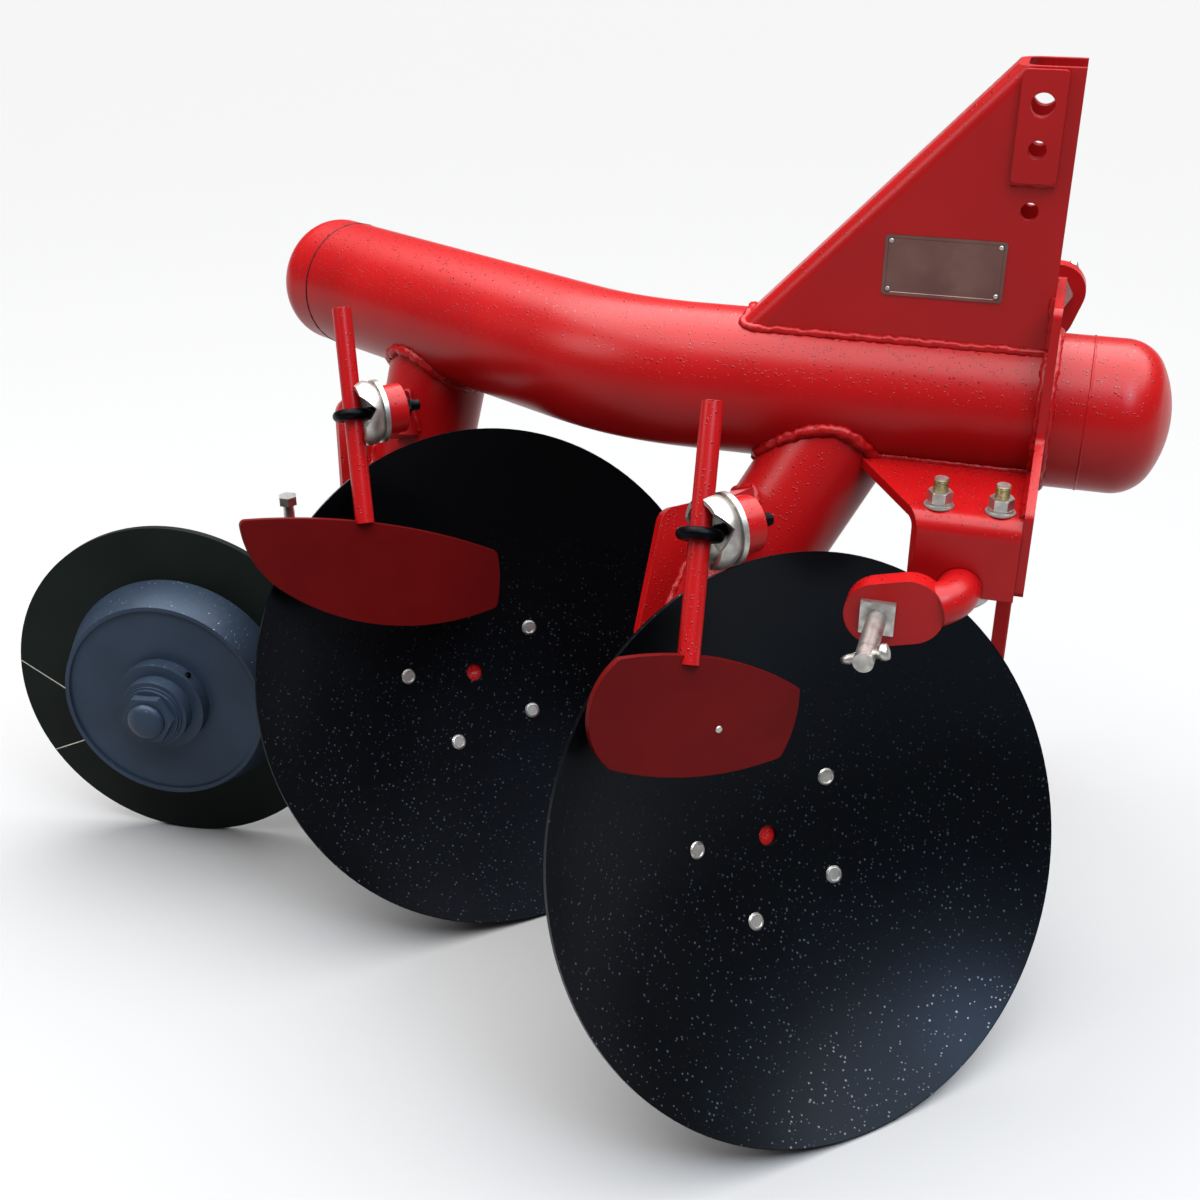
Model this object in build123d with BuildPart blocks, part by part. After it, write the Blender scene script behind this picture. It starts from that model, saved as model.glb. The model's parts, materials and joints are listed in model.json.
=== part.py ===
import os
from math import atan2, cos, degrees, radians, sin, sqrt

from build123d import *

os.makedirs("parts", exist_ok=True)

# Frame: X forward along travel, Y left, Z up, floor at Z 0, origin under the middle of the bounding box
BEND_X = 92.95
BEND_Y = 75.15

# Beam: a pipe with one level bend and a dished cap on each end
BEAM_Z = 700.0
BEAM_R = 90.0
BEAM_WALL = 10.0
BEND_ANGLE = 27.4
BEND_R = 350.0
FRONT_RUN = 556.0
REAR_RUN = 568.0
CAP_FLANGE = 35.0
CAP_DOME = 60.0
CAP_KNUCKLE = 50.0

# Mast: a plate folded round its sloping rear edge, its height above the beam's axis
MAST_H = 388.0
MAST_W = 84.0
MAST_T = 8.0
MAST_FRONT = 505.0
MAST_TOP_REAR = 434.0
MAST_FOOT_REAR = 70.0
MAST_FOLD_R = 20.0
DOUBLER_T = 8.0
DOUBLER_W = 48.0
DOUBLER_H = 118.0
DOUBLER_DROP = 2.0
DOUBLER_CORNER = 6.0
LINK_BACK = 40.0
# Top link holes: drop below the mast's top, radius
LINK_HOLES = ((38.0, 12.85), (84.0, 9.65), (151.0, 9.65))
DOUBLED_HOLES = 2

# Hitch plate across the beam, its outline as distances left of and above the beam's axis
PLATE_T = 10.0
PLATE_OUTLINE = (
    (-95.0, 145.0),
    (55.0, 145.0),
    (110.0, 60.0),
    (341.0, 20.0),
    (341.0, -143.0),
    (-226.0, -143.0),
    (-226.0, -43.0),
    (-110.0, 0.0),
)
PLATE_CORNER = 12.0

# Cross shaft, a cranked bar, and the flat eyes at its ends
SHAFT_R = 25.0
SHAFT_X = 446.0
SHAFT_DROP = 136.0
CRANK_R = 36.0
PADDLE_R = 38.0
PADDLE_L = 34.0
PADDLE_T = 25.0
# Eyes: name, middle across, forward of the shaft, above the shaft, side
EYES = (
    ("pin_right", -270.0, -80.0, -20.0, -1),
    ("pin_left", 372.0, 60.0, 181.0, 1),
)

# Brackets that hold the shaft, and their U-bolts
BRACKET_DROP = 53.0
BRACKET_H = 92.0
BRACKET_T = 12.0
BRACKET_INNER = 60.0
BRACKET_OUTER = 230.0
BRACKET_REAR = 394.0
BRACKET_FOLD_R = 22.0
GUSSET_REAR = 298.0
SADDLE_W = 44.0
UBOLT_Y = 200.0
UBOLT_R = 8.0
UBOLT_STICK = 33.0
UBOLT_NUT_R = 14.0
UBOLT_NUT_H = 16.0

# Lower link pins
PIN_R = 11.0
PIN_LENGTH = 102.0
COLLAR_W = 38.0
COLLAR_T = 8.0
STUD_NUT_R = 21.0
STUD_NUT_H = 18.0

# Discs: dished, all set at one angle to travel and one tilt
DISC_R = 330.0
DISC_T = 6.0
DISH = 110.0
DISC_ANGLE = 45.0
DISC_TILT = 24.7
DISC_HOLE_R = 12.0

# Hubs and spindles: the first three depths are behind the dish, the rest behind the rim's plane
FLANGE_BEHIND = 16.0
BORE_BEHIND = 19.0
SPINDLE_BEHIND = 25.0
HUB_FLANGE_R = 122.0
HUB_R = 70.0
HUB_BACK = 215.0
HUB_BORE_R = 30.5
SPINDLE_R = 30.0
SPINDLE_COLLAR_R = 46.0
CARRIER_FRONT = 230.0
CARRIER_T = 14.0
CARRIER_EYE_R = 85.0
CARRIER_CORNER = 24.0
SPINDLE_NUT_R = 40.0
SPINDLE_NUT_H = 24.0

# Standards: pipes from the beam to a foot beside, above and behind the disc's centre
STANDARD_R = 70.0
STANDARD_WALL = 9.0
STANDARD_FOOT = (-18.2, 158.7, -284.7)

# Disc rows: name, disc forward of the bend, disc left of it, standard's place along the beam's run
DISC_ROWS = (
    ("front", 337.6, -391.9, 302.0),
    ("rear", -132.4, -134.0, -350.0),
)

# Carrier outlines in the disc's plane above the eye: left shoulder, top left, top right, right shoulder
CARRIERS = {
    "front": ((-56.0, 256.0), (10.0, 396.0), (90.0, 396.0), (125.0, 300.0)),
    "rear": ((-97.0, 285.0), (-78.0, 416.0), (70.0, 416.0), (95.0, 300.0)),
}

# Scrapers: rod, eye bolt, cup and lug
ROD_R = 12.0
ROD_LIFT = 26.0
ROD_ABOVE = 134.0
ROD_BELOW = 137.0
RING_R = 7.0
BOLT_STICK = 14.0
LUG_T = 28.0
LUG_H = 62.0
LUG_SPAN = 50.0
LUG_ELBOW = 40.0
RIM_CLEAR = 10.0
CUP_MOUTH_R = 38.0
CUP_BELLY_R = 41.0
CUP_BACK_R = 36.0
CUP_T = 5.0
CUP_START = 4.0
CUP_CLEAR = 3.0
CUP_LIP_R = 40.0
CUP_LIP_T = 6.0
CUP_NOTCH = 19.0
CUP_NOTCH_H = 26.0
BOLT_NUT_R = 13.0
BOLT_NUT_H = 10.0
# Scraper places in the disc's plane: ring, rod's top, lug's root, root's depth
SCRAPERS = {
    "front": (-88.0, -43.0, 88.0, 165.0),
    "rear": (-137.0, -123.0, -10.0, 150.0),
}

# Blades: set below the ring on their own tilted plane
BLADE_T = 8.0
BLADE_TILT = 16.7
BLADE_DROP = 111.0
BLADE_LIFT = 36.0
BLADE_CORNER = 7.0
# Blade outlines: each corner, then the middle of the arc that leaves it, from the top left
BLADES = {
    "front": (
        ((-212.0, 7.0), (-119.0, -13.0)),
        ((5.0, -81.0), (-2.0, -119.0)),
        ((-23.0, -157.0), (-128.0, -150.0)),
        ((-232.0, -112.0), (-252.0, -48.0)),
    ),
    "rear": (
        ((-308.0, 8.0), (-145.0, -27.0)),
        ((24.0, -101.0), (24.0, -140.0)),
        ((16.0, -178.0), (-135.0, -169.0)),
        ((-271.0, -89.0), (-300.0, -43.0)),
    ),
}

# Furrow wheel, as depths before the flange's middle
WHEEL_X = -604.0
WHEEL_Y = -180.0
WHEEL_R = 235.0
WHEEL_T = 10.0
WHEEL_TURN = 9.0
WHEEL_TILT = 4.0
DRUM_BASE_R = 160.0
DRUM_R = 142.0
DRUM_FACE = 60.0
DRUM_WALL = 6.0
DRUM_LIP = 4.0
WHEEL_HUB_R = 45.0
WHEEL_HUB_BACK = 35.0
WHEEL_BORE_R = 20.5
# Boss steps from the drum outwards: radius, face
BOSS_STEPS = ((64.0, 77.0), (48.0, 97.0), (42.0, 100.0), (39.0, 104.0))
AXLE_NUT_R = 36.0
AXLE_NUT_FACE = 116.0

# Wheel post, arm, sleeve and lock bolt
POST_R = 20.0
POST_BEND_R = 45.0
POST_STICK = 4.0
POST_DROP = 134.0
AXLE_BACK = 95.0
AXLE_END = 48.0
SLEEVE_X = -487.0
SLEEVE_Y = 59.0
SLEEVE_R = 34.0
SLEEVE_H = 62.0
SLEEVE_BELOW = 12.0
ARM_T = 22.0
ARM_H = 48.0
ARM_RISE = 14.0
ARM_TIP = (-544.0, 40.0)
ARM_ROOT = (-367.0, 100.0)
LOCK_X = -532.0
LOCK_Y = 44.0
LOCK_R = 8.0
LOCK_H = 50.0
LOCK_HEAD_R = 14.0
LOCK_HEAD_H = 13.0

# Parking stand
LEG_T = 22.0
LEG_Y = 296.0
LEG_W = 60.0
LEG_ABOVE = 60.0
LEG_EDGE = 3.0
FOOT_W = 110.0
FOOT_T = 10.0
FOOT_CORNER = 14.0
GUIDE_GAP = 0.8
GUIDE_WALL = 7.0
GUIDE_BELOW = 100.0
GUIDE_H = 105.0


def at(x, y, z):
    return Vector(BEND_X + x, BEND_Y + y, z)


def across(y):
    return Plane(origin=at(0, y, 0), x_dir=(1, 0, 0), z_dir=(0, -1, 0))


def facing(x):
    return Plane(origin=at(x, 0, BEAM_Z), x_dir=(0, 1, 0), z_dir=(1, 0, 0))


def level(z):
    return Plane(origin=at(0, 0, z))


# Beam
beam_front = at(FRONT_RUN, 0, BEAM_Z)
beam_bend = at(0, 0, BEAM_Z)
rear_way = Vector(-cos(radians(BEND_ANGLE)), sin(radians(BEND_ANGLE)), 0)
beam_rear = beam_bend + rear_way * REAR_RUN
beam_start = Plane(origin=beam_front, z_dir=(-1, 0, 0))

with BuildLine() as beam_path:
    FilletPolyline(beam_front, beam_bend, beam_rear, radius=BEND_R)

with BuildPart() as beam_core:
    with BuildSketch(beam_start):
        Circle(BEAM_R)
    sweep(path=beam_path.wire())

with BuildPart() as beam:
    with BuildSketch(beam_start):
        Circle(BEAM_R)
        Circle(BEAM_R - BEAM_WALL, mode=Mode.SUBTRACT)
    sweep(path=beam_path.wire())
beam.part.label = "beam"
export_step(beam.part, "parts/beam.step")

# Caps: crown and knuckle arcs that meet in line; name, seam, way out
CAPS = (
    ("front_cap", beam_front, Vector(1, 0, 0)),
    ("rear_cap", beam_rear, rear_way),
)
knuckle_rise = BEAM_R - CAP_KNUCKLE
crown_r = (CAP_DOME**2 - CAP_KNUCKLE**2 + knuckle_rise**2) / (2 * (CAP_DOME - CAP_KNUCKLE))
crown_x = CAP_FLANGE + CAP_DOME - crown_r
crown_turn = degrees(atan2(knuckle_rise, crown_r - CAP_DOME))

for name, seam, way in CAPS:
    with BuildPart() as cap:
        with BuildSketch(Plane(origin=seam, x_dir=way, z_dir=way.cross(Vector(0, 0, 1)))):
            with BuildLine():
                for wall in (0, BEAM_WALL):
                    Line((0, BEAM_R - wall), (CAP_FLANGE, BEAM_R - wall))
                    CenterArc((CAP_FLANGE, knuckle_rise), CAP_KNUCKLE - wall, crown_turn, 90 - crown_turn)
                    CenterArc((crown_x, 0), crown_r - wall, 0, crown_turn)
                Line((0, BEAM_R - BEAM_WALL), (0, BEAM_R))
                Line((crown_x + crown_r - BEAM_WALL, 0), (crown_x + crown_r, 0))
            make_face()
        revolve(axis=Axis(seam, way))
    cap.part.label = name
    export_step(cap.part, f"parts/{name}.step")

# Mast
mast_top = BEAM_Z + MAST_H
link_x = MAST_FRONT - LINK_BACK
slope_way = Vector(MAST_TOP_REAR - MAST_FOOT_REAR, 0, MAST_H).normalized()
fold_shift = MAST_T / slope_way.Z
mast_back = ((MAST_FOOT_REAR, BEAM_Z), (MAST_TOP_REAR, mast_top))
hollow_top = MAST_TOP_REAR + slope_way.X / slope_way.Z * MAST_T

with BuildPart() as mast_hollow:
    with BuildSketch(across(MAST_W / 2 - MAST_T)):
        Polygon(
            (MAST_FOOT_REAR + fold_shift, BEAM_Z),
            (hollow_top + fold_shift, mast_top + MAST_T),
            (MAST_FRONT + MAST_T, mast_top + MAST_T),
            (MAST_FRONT + MAST_T, BEAM_Z),
            align=None,
        )
    extrude(amount=MAST_W - 2 * MAST_T)
    fillet(mast_hollow.edges().filter_by(Axis((0, 0, 0), slope_way)), MAST_FOLD_R - MAST_T)

with BuildPart() as mast:
    with BuildSketch(across(MAST_W / 2)):
        Polygon(*mast_back, (MAST_FRONT, mast_top), (MAST_FRONT, BEAM_Z), align=None)
    extrude(amount=MAST_W)
    fillet(mast.edges().filter_by(Axis((0, 0, 0), slope_way)), MAST_FOLD_R)
    add(mast_hollow.part, mode=Mode.SUBTRACT)
    add(beam_core.part, mode=Mode.SUBTRACT)
    with BuildSketch(across(MAST_W / 2)):
        for drop, radius in LINK_HOLES:
            with Locations((link_x, mast_top - drop)):
                Circle(radius)
    extrude(amount=MAST_W, mode=Mode.SUBTRACT)
mast.part.label = "mast"
export_step(mast.part, "parts/mast.step")

# Doublers: name, outer face
DOUBLERS = (
    ("doubler_right", -MAST_W / 2),
    ("doubler_left", MAST_W / 2 + DOUBLER_T),
)
for name, face in DOUBLERS:
    with BuildPart() as doubler:
        with BuildSketch(across(face)):
            with Locations((link_x, mast_top - DOUBLER_DROP - DOUBLER_H / 2)):
                RectangleRounded(DOUBLER_W, DOUBLER_H, DOUBLER_CORNER)
            for drop, radius in LINK_HOLES[:DOUBLED_HOLES]:
                with Locations((link_x, mast_top - drop)):
                    Circle(radius, mode=Mode.SUBTRACT)
        extrude(amount=DOUBLER_T)
    doubler.part.label = name
    export_step(doubler.part, f"parts/{name}.step")

# Hitch plate
with BuildPart() as hitch_plate:
    with BuildSketch(facing(MAST_FRONT)) as plate_face:
        Polygon(*PLATE_OUTLINE, align=None)
        fillet(plate_face.vertices(), PLATE_CORNER)
    extrude(amount=PLATE_T)
    add(beam_core.part, mode=Mode.SUBTRACT)
hitch_plate.part.label = "hitch_plate"
export_step(hitch_plate.part, "parts/hitch_plate.step")

# Cross shaft
shaft_z = BEAM_Z - SHAFT_DROP
eye_ends = [at(SHAFT_X + forward, middle, shaft_z + above) for _, middle, forward, above, _ in EYES]

with BuildLine() as shaft_path:
    FilletPolyline(
        eye_ends[0],
        at(SHAFT_X, EYES[0][1], shaft_z),
        at(SHAFT_X, EYES[1][1], shaft_z),
        eye_ends[1],
        radius=CRANK_R,
    )

with BuildPart() as cross_shaft:
    with BuildSketch(Plane(origin=eye_ends[0], z_dir=(1, 0, 0))):
        Circle(SHAFT_R)
    sweep(path=shaft_path.wire())
    for _, middle, forward, above, _ in EYES:
        crank = sqrt(forward**2 + above**2)
        slot_share = 1 - PADDLE_L / 2 / crank
        slot_middle = (SHAFT_X + forward * slot_share, shaft_z + above * slot_share)
        slot_turn = degrees(atan2(above, forward))
        with BuildSketch(across(middle + SHAFT_R), across(middle - PADDLE_T / 2)):
            with Locations(slot_middle):
                SlotCenterToCenter(PADDLE_L, 2 * PADDLE_R, rotation=slot_turn)
        extrude(amount=SHAFT_R - PADDLE_T / 2, mode=Mode.SUBTRACT)
        with BuildSketch(across(middle + PADDLE_T / 2)):
            with Locations(slot_middle):
                SlotCenterToCenter(PADDLE_L, 2 * PADDLE_R, rotation=slot_turn)
        extrude(amount=PADDLE_T)
        with BuildSketch(across(middle + PADDLE_T / 2)):
            with Locations((SHAFT_X + forward, shaft_z + above)):
                Circle(PIN_R)
        extrude(amount=PADDLE_T, mode=Mode.SUBTRACT)
cross_shaft.part.label = "cross_shaft"
export_step(cross_shaft.part, "parts/cross_shaft.step")

# Lower link pins
for name, middle, forward, above, side in EYES:
    eye = (SHAFT_X + forward, shaft_z + above)
    shoulder = middle + side * PADDLE_T / 2
    inner = middle - side * PADDLE_T / 2
    with BuildPart() as pin:
        with BuildSketch(across(inner - side * STUD_NUT_H)):
            with Locations(eye):
                Circle(PIN_R)
        extrude(amount=-side * (STUD_NUT_H + PADDLE_T + COLLAR_T + PIN_LENGTH))
        with BuildSketch(across(inner)):
            with Locations(eye):
                RegularPolygon(STUD_NUT_R, 6)
        extrude(amount=side * STUD_NUT_H)
        with BuildSketch(across(shoulder)):
            with Locations(eye):
                Rectangle(COLLAR_W, COLLAR_W)
        extrude(amount=-side * COLLAR_T)
    pin.part.label = name
    export_step(pin.part, f"parts/{name}.step")

# Brackets and their U-bolts: side name, side
SIDES = (("right", -1), ("left", 1))
bracket_top = BEAM_Z - BRACKET_DROP
ubolt_reach = SHAFT_R + UBOLT_R
ubolt_legs = (SHAFT_X - ubolt_reach, SHAFT_X + ubolt_reach)

for side_name, side in SIDES:
    inner_y = side * BRACKET_INNER
    outer_y = side * BRACKET_OUTER
    flange_y = side * (BRACKET_OUTER - BRACKET_T)
    with BuildPart() as bracket:
        with BuildSketch(facing(GUSSET_REAR)) as section:
            Polygon(
                (inner_y, -BRACKET_DROP),
                (outer_y, -BRACKET_DROP),
                (outer_y, -BRACKET_DROP - BRACKET_H),
                (flange_y, -BRACKET_DROP - BRACKET_H),
                (flange_y, -BRACKET_DROP - BRACKET_T),
                (inner_y, -BRACKET_DROP - BRACKET_T),
                align=None,
            )
            outer_fold = section.vertices().sort_by_distance((outer_y, -BRACKET_DROP))[0]
            fillet(outer_fold, BRACKET_FOLD_R)
            inner_fold = section.vertices().sort_by_distance((flange_y, -BRACKET_DROP - BRACKET_T))[0]
            fillet(inner_fold, BRACKET_FOLD_R - BRACKET_T)
        extrude(amount=MAST_FRONT - GUSSET_REAR)
        with BuildSketch(level(bracket_top)):
            Polygon((GUSSET_REAR, inner_y), (BRACKET_REAR, outer_y), (GUSSET_REAR, outer_y), align=None)
        extrude(amount=-BRACKET_H, mode=Mode.SUBTRACT)
        with BuildSketch(across(side * UBOLT_Y)):
            with Locations((SHAFT_X, shaft_z)):
                Rectangle(SADDLE_W, SHAFT_DROP - BRACKET_DROP - BRACKET_T, align=(Align.CENTER, Align.MIN))
        extrude(amount=SADDLE_W / 2, both=True)
        with BuildSketch(across(0)):
            with Locations((SHAFT_X, shaft_z)):
                Circle(SHAFT_R)
        extrude(amount=-side * 2 * BRACKET_OUTER, mode=Mode.SUBTRACT)
        add(beam_core.part, mode=Mode.SUBTRACT)
        with BuildSketch(level(bracket_top)):
            for leg_x in ubolt_legs:
                with Locations((leg_x, side * UBOLT_Y)):
                    Circle(UBOLT_R)
        extrude(amount=-BRACKET_T, mode=Mode.SUBTRACT)
    bracket.part.label = f"bracket_{side_name}"
    export_step(bracket.part, f"parts/bracket_{side_name}.step")

    leg_tops = [at(leg_x, side * UBOLT_Y, bracket_top + UBOLT_STICK) for leg_x in ubolt_legs]
    leg_ends = [at(leg_x, side * UBOLT_Y, shaft_z) for leg_x in ubolt_legs]
    with BuildLine() as ubolt_path:
        Line(leg_tops[0], leg_ends[0])
        ThreePointArc(leg_ends[0], at(SHAFT_X, side * UBOLT_Y, shaft_z - ubolt_reach), leg_ends[1])
        Line(leg_ends[1], leg_tops[1])
    with BuildPart() as u_bolt:
        with BuildSketch(Plane(origin=leg_tops[0], z_dir=(0, 0, -1))):
            Circle(UBOLT_R)
        sweep(path=ubolt_path.wire())
        with BuildSketch(level(bracket_top)):
            for leg_x in ubolt_legs:
                with Locations((leg_x, side * UBOLT_Y)):
                    RegularPolygon(UBOLT_NUT_R, 6)
        extrude(amount=UBOLT_NUT_H)
    u_bolt.part.label = f"u_bolt_{side_name}"
    export_step(u_bolt.part, f"parts/u_bolt_{side_name}.step")

# Disc geometry: two spheres on one centre, cut off at the rim
dish_r = (DISC_R**2 + DISH**2) / (2 * DISH)
dish_back_r = dish_r + DISC_T
dish_lift = dish_r - DISH
rim_back = sqrt(dish_back_r**2 - DISC_R**2) - dish_lift
flange_back = DISH + FLANGE_BEHIND
bore_end = DISH + BORE_BEHIND
spindle_end = DISH + SPINDLE_BEHIND
tilt = radians(DISC_TILT)
disc_z = DISC_R * cos(tilt) + rim_back * sin(tilt)
turn = radians(DISC_ANGLE)
disc_way = Vector(cos(tilt) * sin(turn), -cos(tilt) * cos(turn), sin(tilt))
disc_side = Vector(cos(turn), sin(turn), 0)
disc_up = disc_way.cross(disc_side)

ring_height = DISC_R + RIM_CLEAR + LUG_H / 2
feet = {}
standard_cores = {}

for name, disc_x, disc_y, station in DISC_ROWS:
    centre = at(disc_x, disc_y, disc_z)
    rim = Plane(origin=centre, x_dir=disc_side, z_dir=disc_way)
    dish_centre = rim.offset(dish_lift)

    # Disc
    with BuildPart() as disc:
        with BuildSketch(rim.offset(-DISH - 2 * DISC_T)):
            Circle(DISC_R)
            Circle(DISC_HOLE_R, mode=Mode.SUBTRACT)
        extrude(amount=DISH + 2 * DISC_T)
        with Locations(dish_centre):
            Sphere(dish_back_r, mode=Mode.INTERSECT)
            Sphere(dish_r, mode=Mode.SUBTRACT)
    disc.part.label = f"disc_{name}"
    export_step(disc.part, f"parts/disc_{name}.step")

    # Hub
    with BuildPart() as hub:
        with BuildSketch(rim.offset(-HUB_BACK)):
            Circle(HUB_R)
        extrude(amount=HUB_BACK - flange_back)
        with BuildSketch(rim.offset(-flange_back)):
            Circle(HUB_FLANGE_R)
        extrude(amount=flange_back)
        with Locations(dish_centre):
            Sphere(dish_back_r, mode=Mode.SUBTRACT)
        with BuildSketch(rim.offset(-HUB_BACK)):
            Circle(HUB_BORE_R)
        extrude(amount=HUB_BACK - bore_end, mode=Mode.SUBTRACT)
    hub.part.label = f"hub_{name}"
    export_step(hub.part, f"parts/hub_{name}.step")

    # Spindle
    with BuildPart() as spindle:
        with BuildSketch(rim.offset(-CARRIER_FRONT - CARRIER_T - SPINDLE_NUT_H)):
            Circle(SPINDLE_R)
        extrude(amount=CARRIER_FRONT + CARRIER_T + SPINDLE_NUT_H - spindle_end)
        with BuildSketch(rim.offset(-CARRIER_FRONT)):
            Circle(SPINDLE_COLLAR_R)
        extrude(amount=(CARRIER_FRONT - HUB_BACK) / 2)
        with BuildSketch(rim.offset(-CARRIER_FRONT - CARRIER_T)):
            RegularPolygon(SPINDLE_NUT_R, 6)
        extrude(amount=-SPINDLE_NUT_H)
    spindle.part.label = f"spindle_{name}"
    export_step(spindle.part, f"parts/spindle_{name}.step")

    # Standard
    beam_way = Vector(1, 0, 0) if station > 0 else -rear_way
    top = beam_bend + beam_way * station
    foot = rim.from_local_coords(Vector(*STANDARD_FOOT))
    feet[name] = foot
    standard_start = Plane(origin=foot, z_dir=top - foot)
    with BuildPart() as standard_core:
        with BuildSketch(standard_start):
            Circle(STANDARD_R)
        extrude(amount=(top - foot).length)
    standard_cores[name] = standard_core.part
    with BuildPart() as standard:
        with BuildSketch(standard_start):
            Circle(STANDARD_R)
            Circle(STANDARD_R - STANDARD_WALL, mode=Mode.SUBTRACT)
        extrude(amount=(top - foot).length)
        add(beam_core.part, mode=Mode.SUBTRACT)
    standard.part.label = f"standard_{name}"
    export_step(standard.part, f"parts/standard_{name}.step")

    # Carrier
    with BuildPart() as carrier:
        with BuildSketch(rim.offset(-CARRIER_FRONT)) as carrier_face:
            Polygon((-CARRIER_EYE_R, 0), *CARRIERS[name], (CARRIER_EYE_R, 0), align=None)
            fillet(carrier_face.vertices().group_by(Axis.Y)[-1], CARRIER_CORNER)
            Circle(CARRIER_EYE_R)
            Circle(SPINDLE_R, mode=Mode.SUBTRACT)
        extrude(amount=-CARRIER_T)
        add(standard_core.part, mode=Mode.SUBTRACT)
    carrier.part.label = f"carrier_{name}"
    export_step(carrier.part, f"parts/carrier_{name}.step")

    # Scraper rod, in a plane just before the rim
    ring_x, top_x, root_x, root_depth = SCRAPERS[name]
    rod_plane = rim.offset(ROD_LIFT)
    ring_place = rod_plane.from_local_coords(Vector(ring_x, ring_height, 0))
    rod_end = rod_plane.from_local_coords(Vector(top_x, ring_height + ROD_ABOVE, 0))
    rod_way = (rod_end - ring_place).normalized()
    rod_start = Plane(origin=ring_place - rod_way * ROD_BELOW, z_dir=rod_way)
    rod_length = ROD_BELOW + (rod_end - ring_place).length
    with BuildPart() as rod_bar:
        with BuildSketch(rod_start):
            Circle(ROD_R)
        extrude(amount=rod_length)
    rod_bar.part.label = f"rod_{name}"
    export_step(rod_bar.part, f"parts/rod_{name}.step")

    # Scraper blade
    blade_lean = radians(BLADE_TILT)
    blade_face = disc_way * cos(blade_lean) - disc_up * sin(blade_lean)
    blade_origin = centre + disc_up * (ring_height - BLADE_DROP) + disc_way * BLADE_LIFT
    blade_edge = BLADES[name]
    blade_ends = blade_edge[1:] + blade_edge[:1]
    with BuildPart() as blade:
        with BuildSketch(Plane(origin=blade_origin, x_dir=disc_side, z_dir=blade_face)) as blade_shape:
            with BuildLine():
                for (corner, middle), (next_corner, _) in zip(blade_edge, blade_ends):
                    ThreePointArc(corner, middle, next_corner)
            make_face()
            fillet(blade_shape.vertices(), BLADE_CORNER)
        extrude(amount=-BLADE_T)
        add(rod_bar.part, mode=Mode.SUBTRACT)
    blade.part.label = f"blade_{name}"
    export_step(blade.part, f"parts/blade_{name}.step")

    # Lug from the standard to the scraper, bent at an elbow, with a round head
    lug_eye = ring_place + disc_side * LUG_SPAN
    lug_elbow = lug_eye - disc_way * LUG_ELBOW
    lug_root = rim.from_local_coords(Vector(root_x, ring_height, -root_depth))
    web_way = lug_root - lug_elbow
    with BuildPart() as lug:
        with BuildSketch(Plane(origin=lug_eye, x_dir=-disc_way, z_dir=disc_side)):
            Circle(LUG_H / 2)
            Rectangle(LUG_ELBOW, LUG_H, align=(Align.MIN, Align.CENTER))
        extrude(amount=LUG_T / 2, both=True)
        with BuildSketch(Plane(origin=lug_elbow, x_dir=web_way, z_dir=web_way.cross(disc_up))):
            Rectangle(web_way.length, LUG_H, align=(Align.MIN, Align.CENTER))
        extrude(amount=LUG_T / 2, both=True)
        with BuildSketch(Plane(origin=lug_elbow, x_dir=disc_side, z_dir=disc_up)):
            Circle(LUG_T / 2)
        extrude(amount=LUG_H / 2, both=True)
        add(standard_core.part, mode=Mode.SUBTRACT)
        with BuildSketch(Plane(origin=lug_eye, z_dir=disc_side)):
            Circle(RING_R)
        extrude(amount=LUG_T, both=True, mode=Mode.SUBTRACT)
    lug.part.label = f"lug_{name}"
    export_step(lug.part, f"parts/lug_{name}.step")

    # Eye bolt round the rod and through the lug
    lug_back = LUG_SPAN + LUG_T / 2
    bolt_axis = Plane(origin=ring_place, z_dir=disc_side)
    with BuildPart() as eye_bolt:
        with Locations(Plane(origin=ring_place, z_dir=rod_way)):
            Torus(ROD_R + RING_R, RING_R)
        with BuildSketch(bolt_axis.offset(ROD_R + RING_R)):
            Circle(RING_R)
        extrude(amount=lug_back + BOLT_NUT_H + BOLT_STICK - ROD_R - RING_R)
        with BuildSketch(bolt_axis.offset(lug_back)):
            RegularPolygon(BOLT_NUT_R, 6)
        extrude(amount=BOLT_NUT_H)
    eye_bolt.part.label = f"eye_bolt_{name}"
    export_step(eye_bolt.part, f"parts/eye_bolt_{name}.step")

    # Cup on the lug with a lip at its back, its mouth notched round the rod and cut to a V before and behind
    cup_end = LUG_SPAN - LUG_T / 2
    lip_start = cup_end - CUP_LIP_T
    cup_middle = (CUP_START + lip_start) / 2
    notch_start = CUP_START - CUP_T
    with BuildPart() as cup:
        with BuildSketch(Plane(origin=ring_place, x_dir=disc_side, z_dir=disc_up)):
            with BuildLine():
                ThreePointArc((CUP_START, CUP_MOUTH_R), (cup_middle, CUP_BELLY_R), (lip_start, CUP_BACK_R))
                Polyline(
                    (lip_start, CUP_BACK_R),
                    (lip_start, CUP_LIP_R),
                    (cup_end, CUP_LIP_R),
                    (cup_end, RING_R),
                    (lip_start, RING_R),
                    (lip_start, CUP_BACK_R - CUP_T),
                )
                ThreePointArc(
                    (lip_start, CUP_BACK_R - CUP_T),
                    (cup_middle, CUP_BELLY_R - CUP_T),
                    (CUP_START, CUP_MOUTH_R - CUP_T),
                )
                Line((CUP_START, CUP_MOUTH_R - CUP_T), (CUP_START, CUP_MOUTH_R))
            make_face()
        revolve(axis=Axis(ring_place, disc_side))
        with BuildSketch(rod_start):
            Circle(ROD_R + CUP_CLEAR)
        extrude(amount=rod_length, mode=Mode.SUBTRACT)
        with BuildSketch(Plane(origin=ring_place, x_dir=disc_side, z_dir=disc_way)):
            Polygon((CUP_NOTCH, 0), (notch_start, CUP_NOTCH_H), (notch_start, -CUP_NOTCH_H), align=None)
        extrude(amount=CUP_BELLY_R + CUP_T, both=True, mode=Mode.SUBTRACT)
    cup.part.label = f"cup_{name}"
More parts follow.
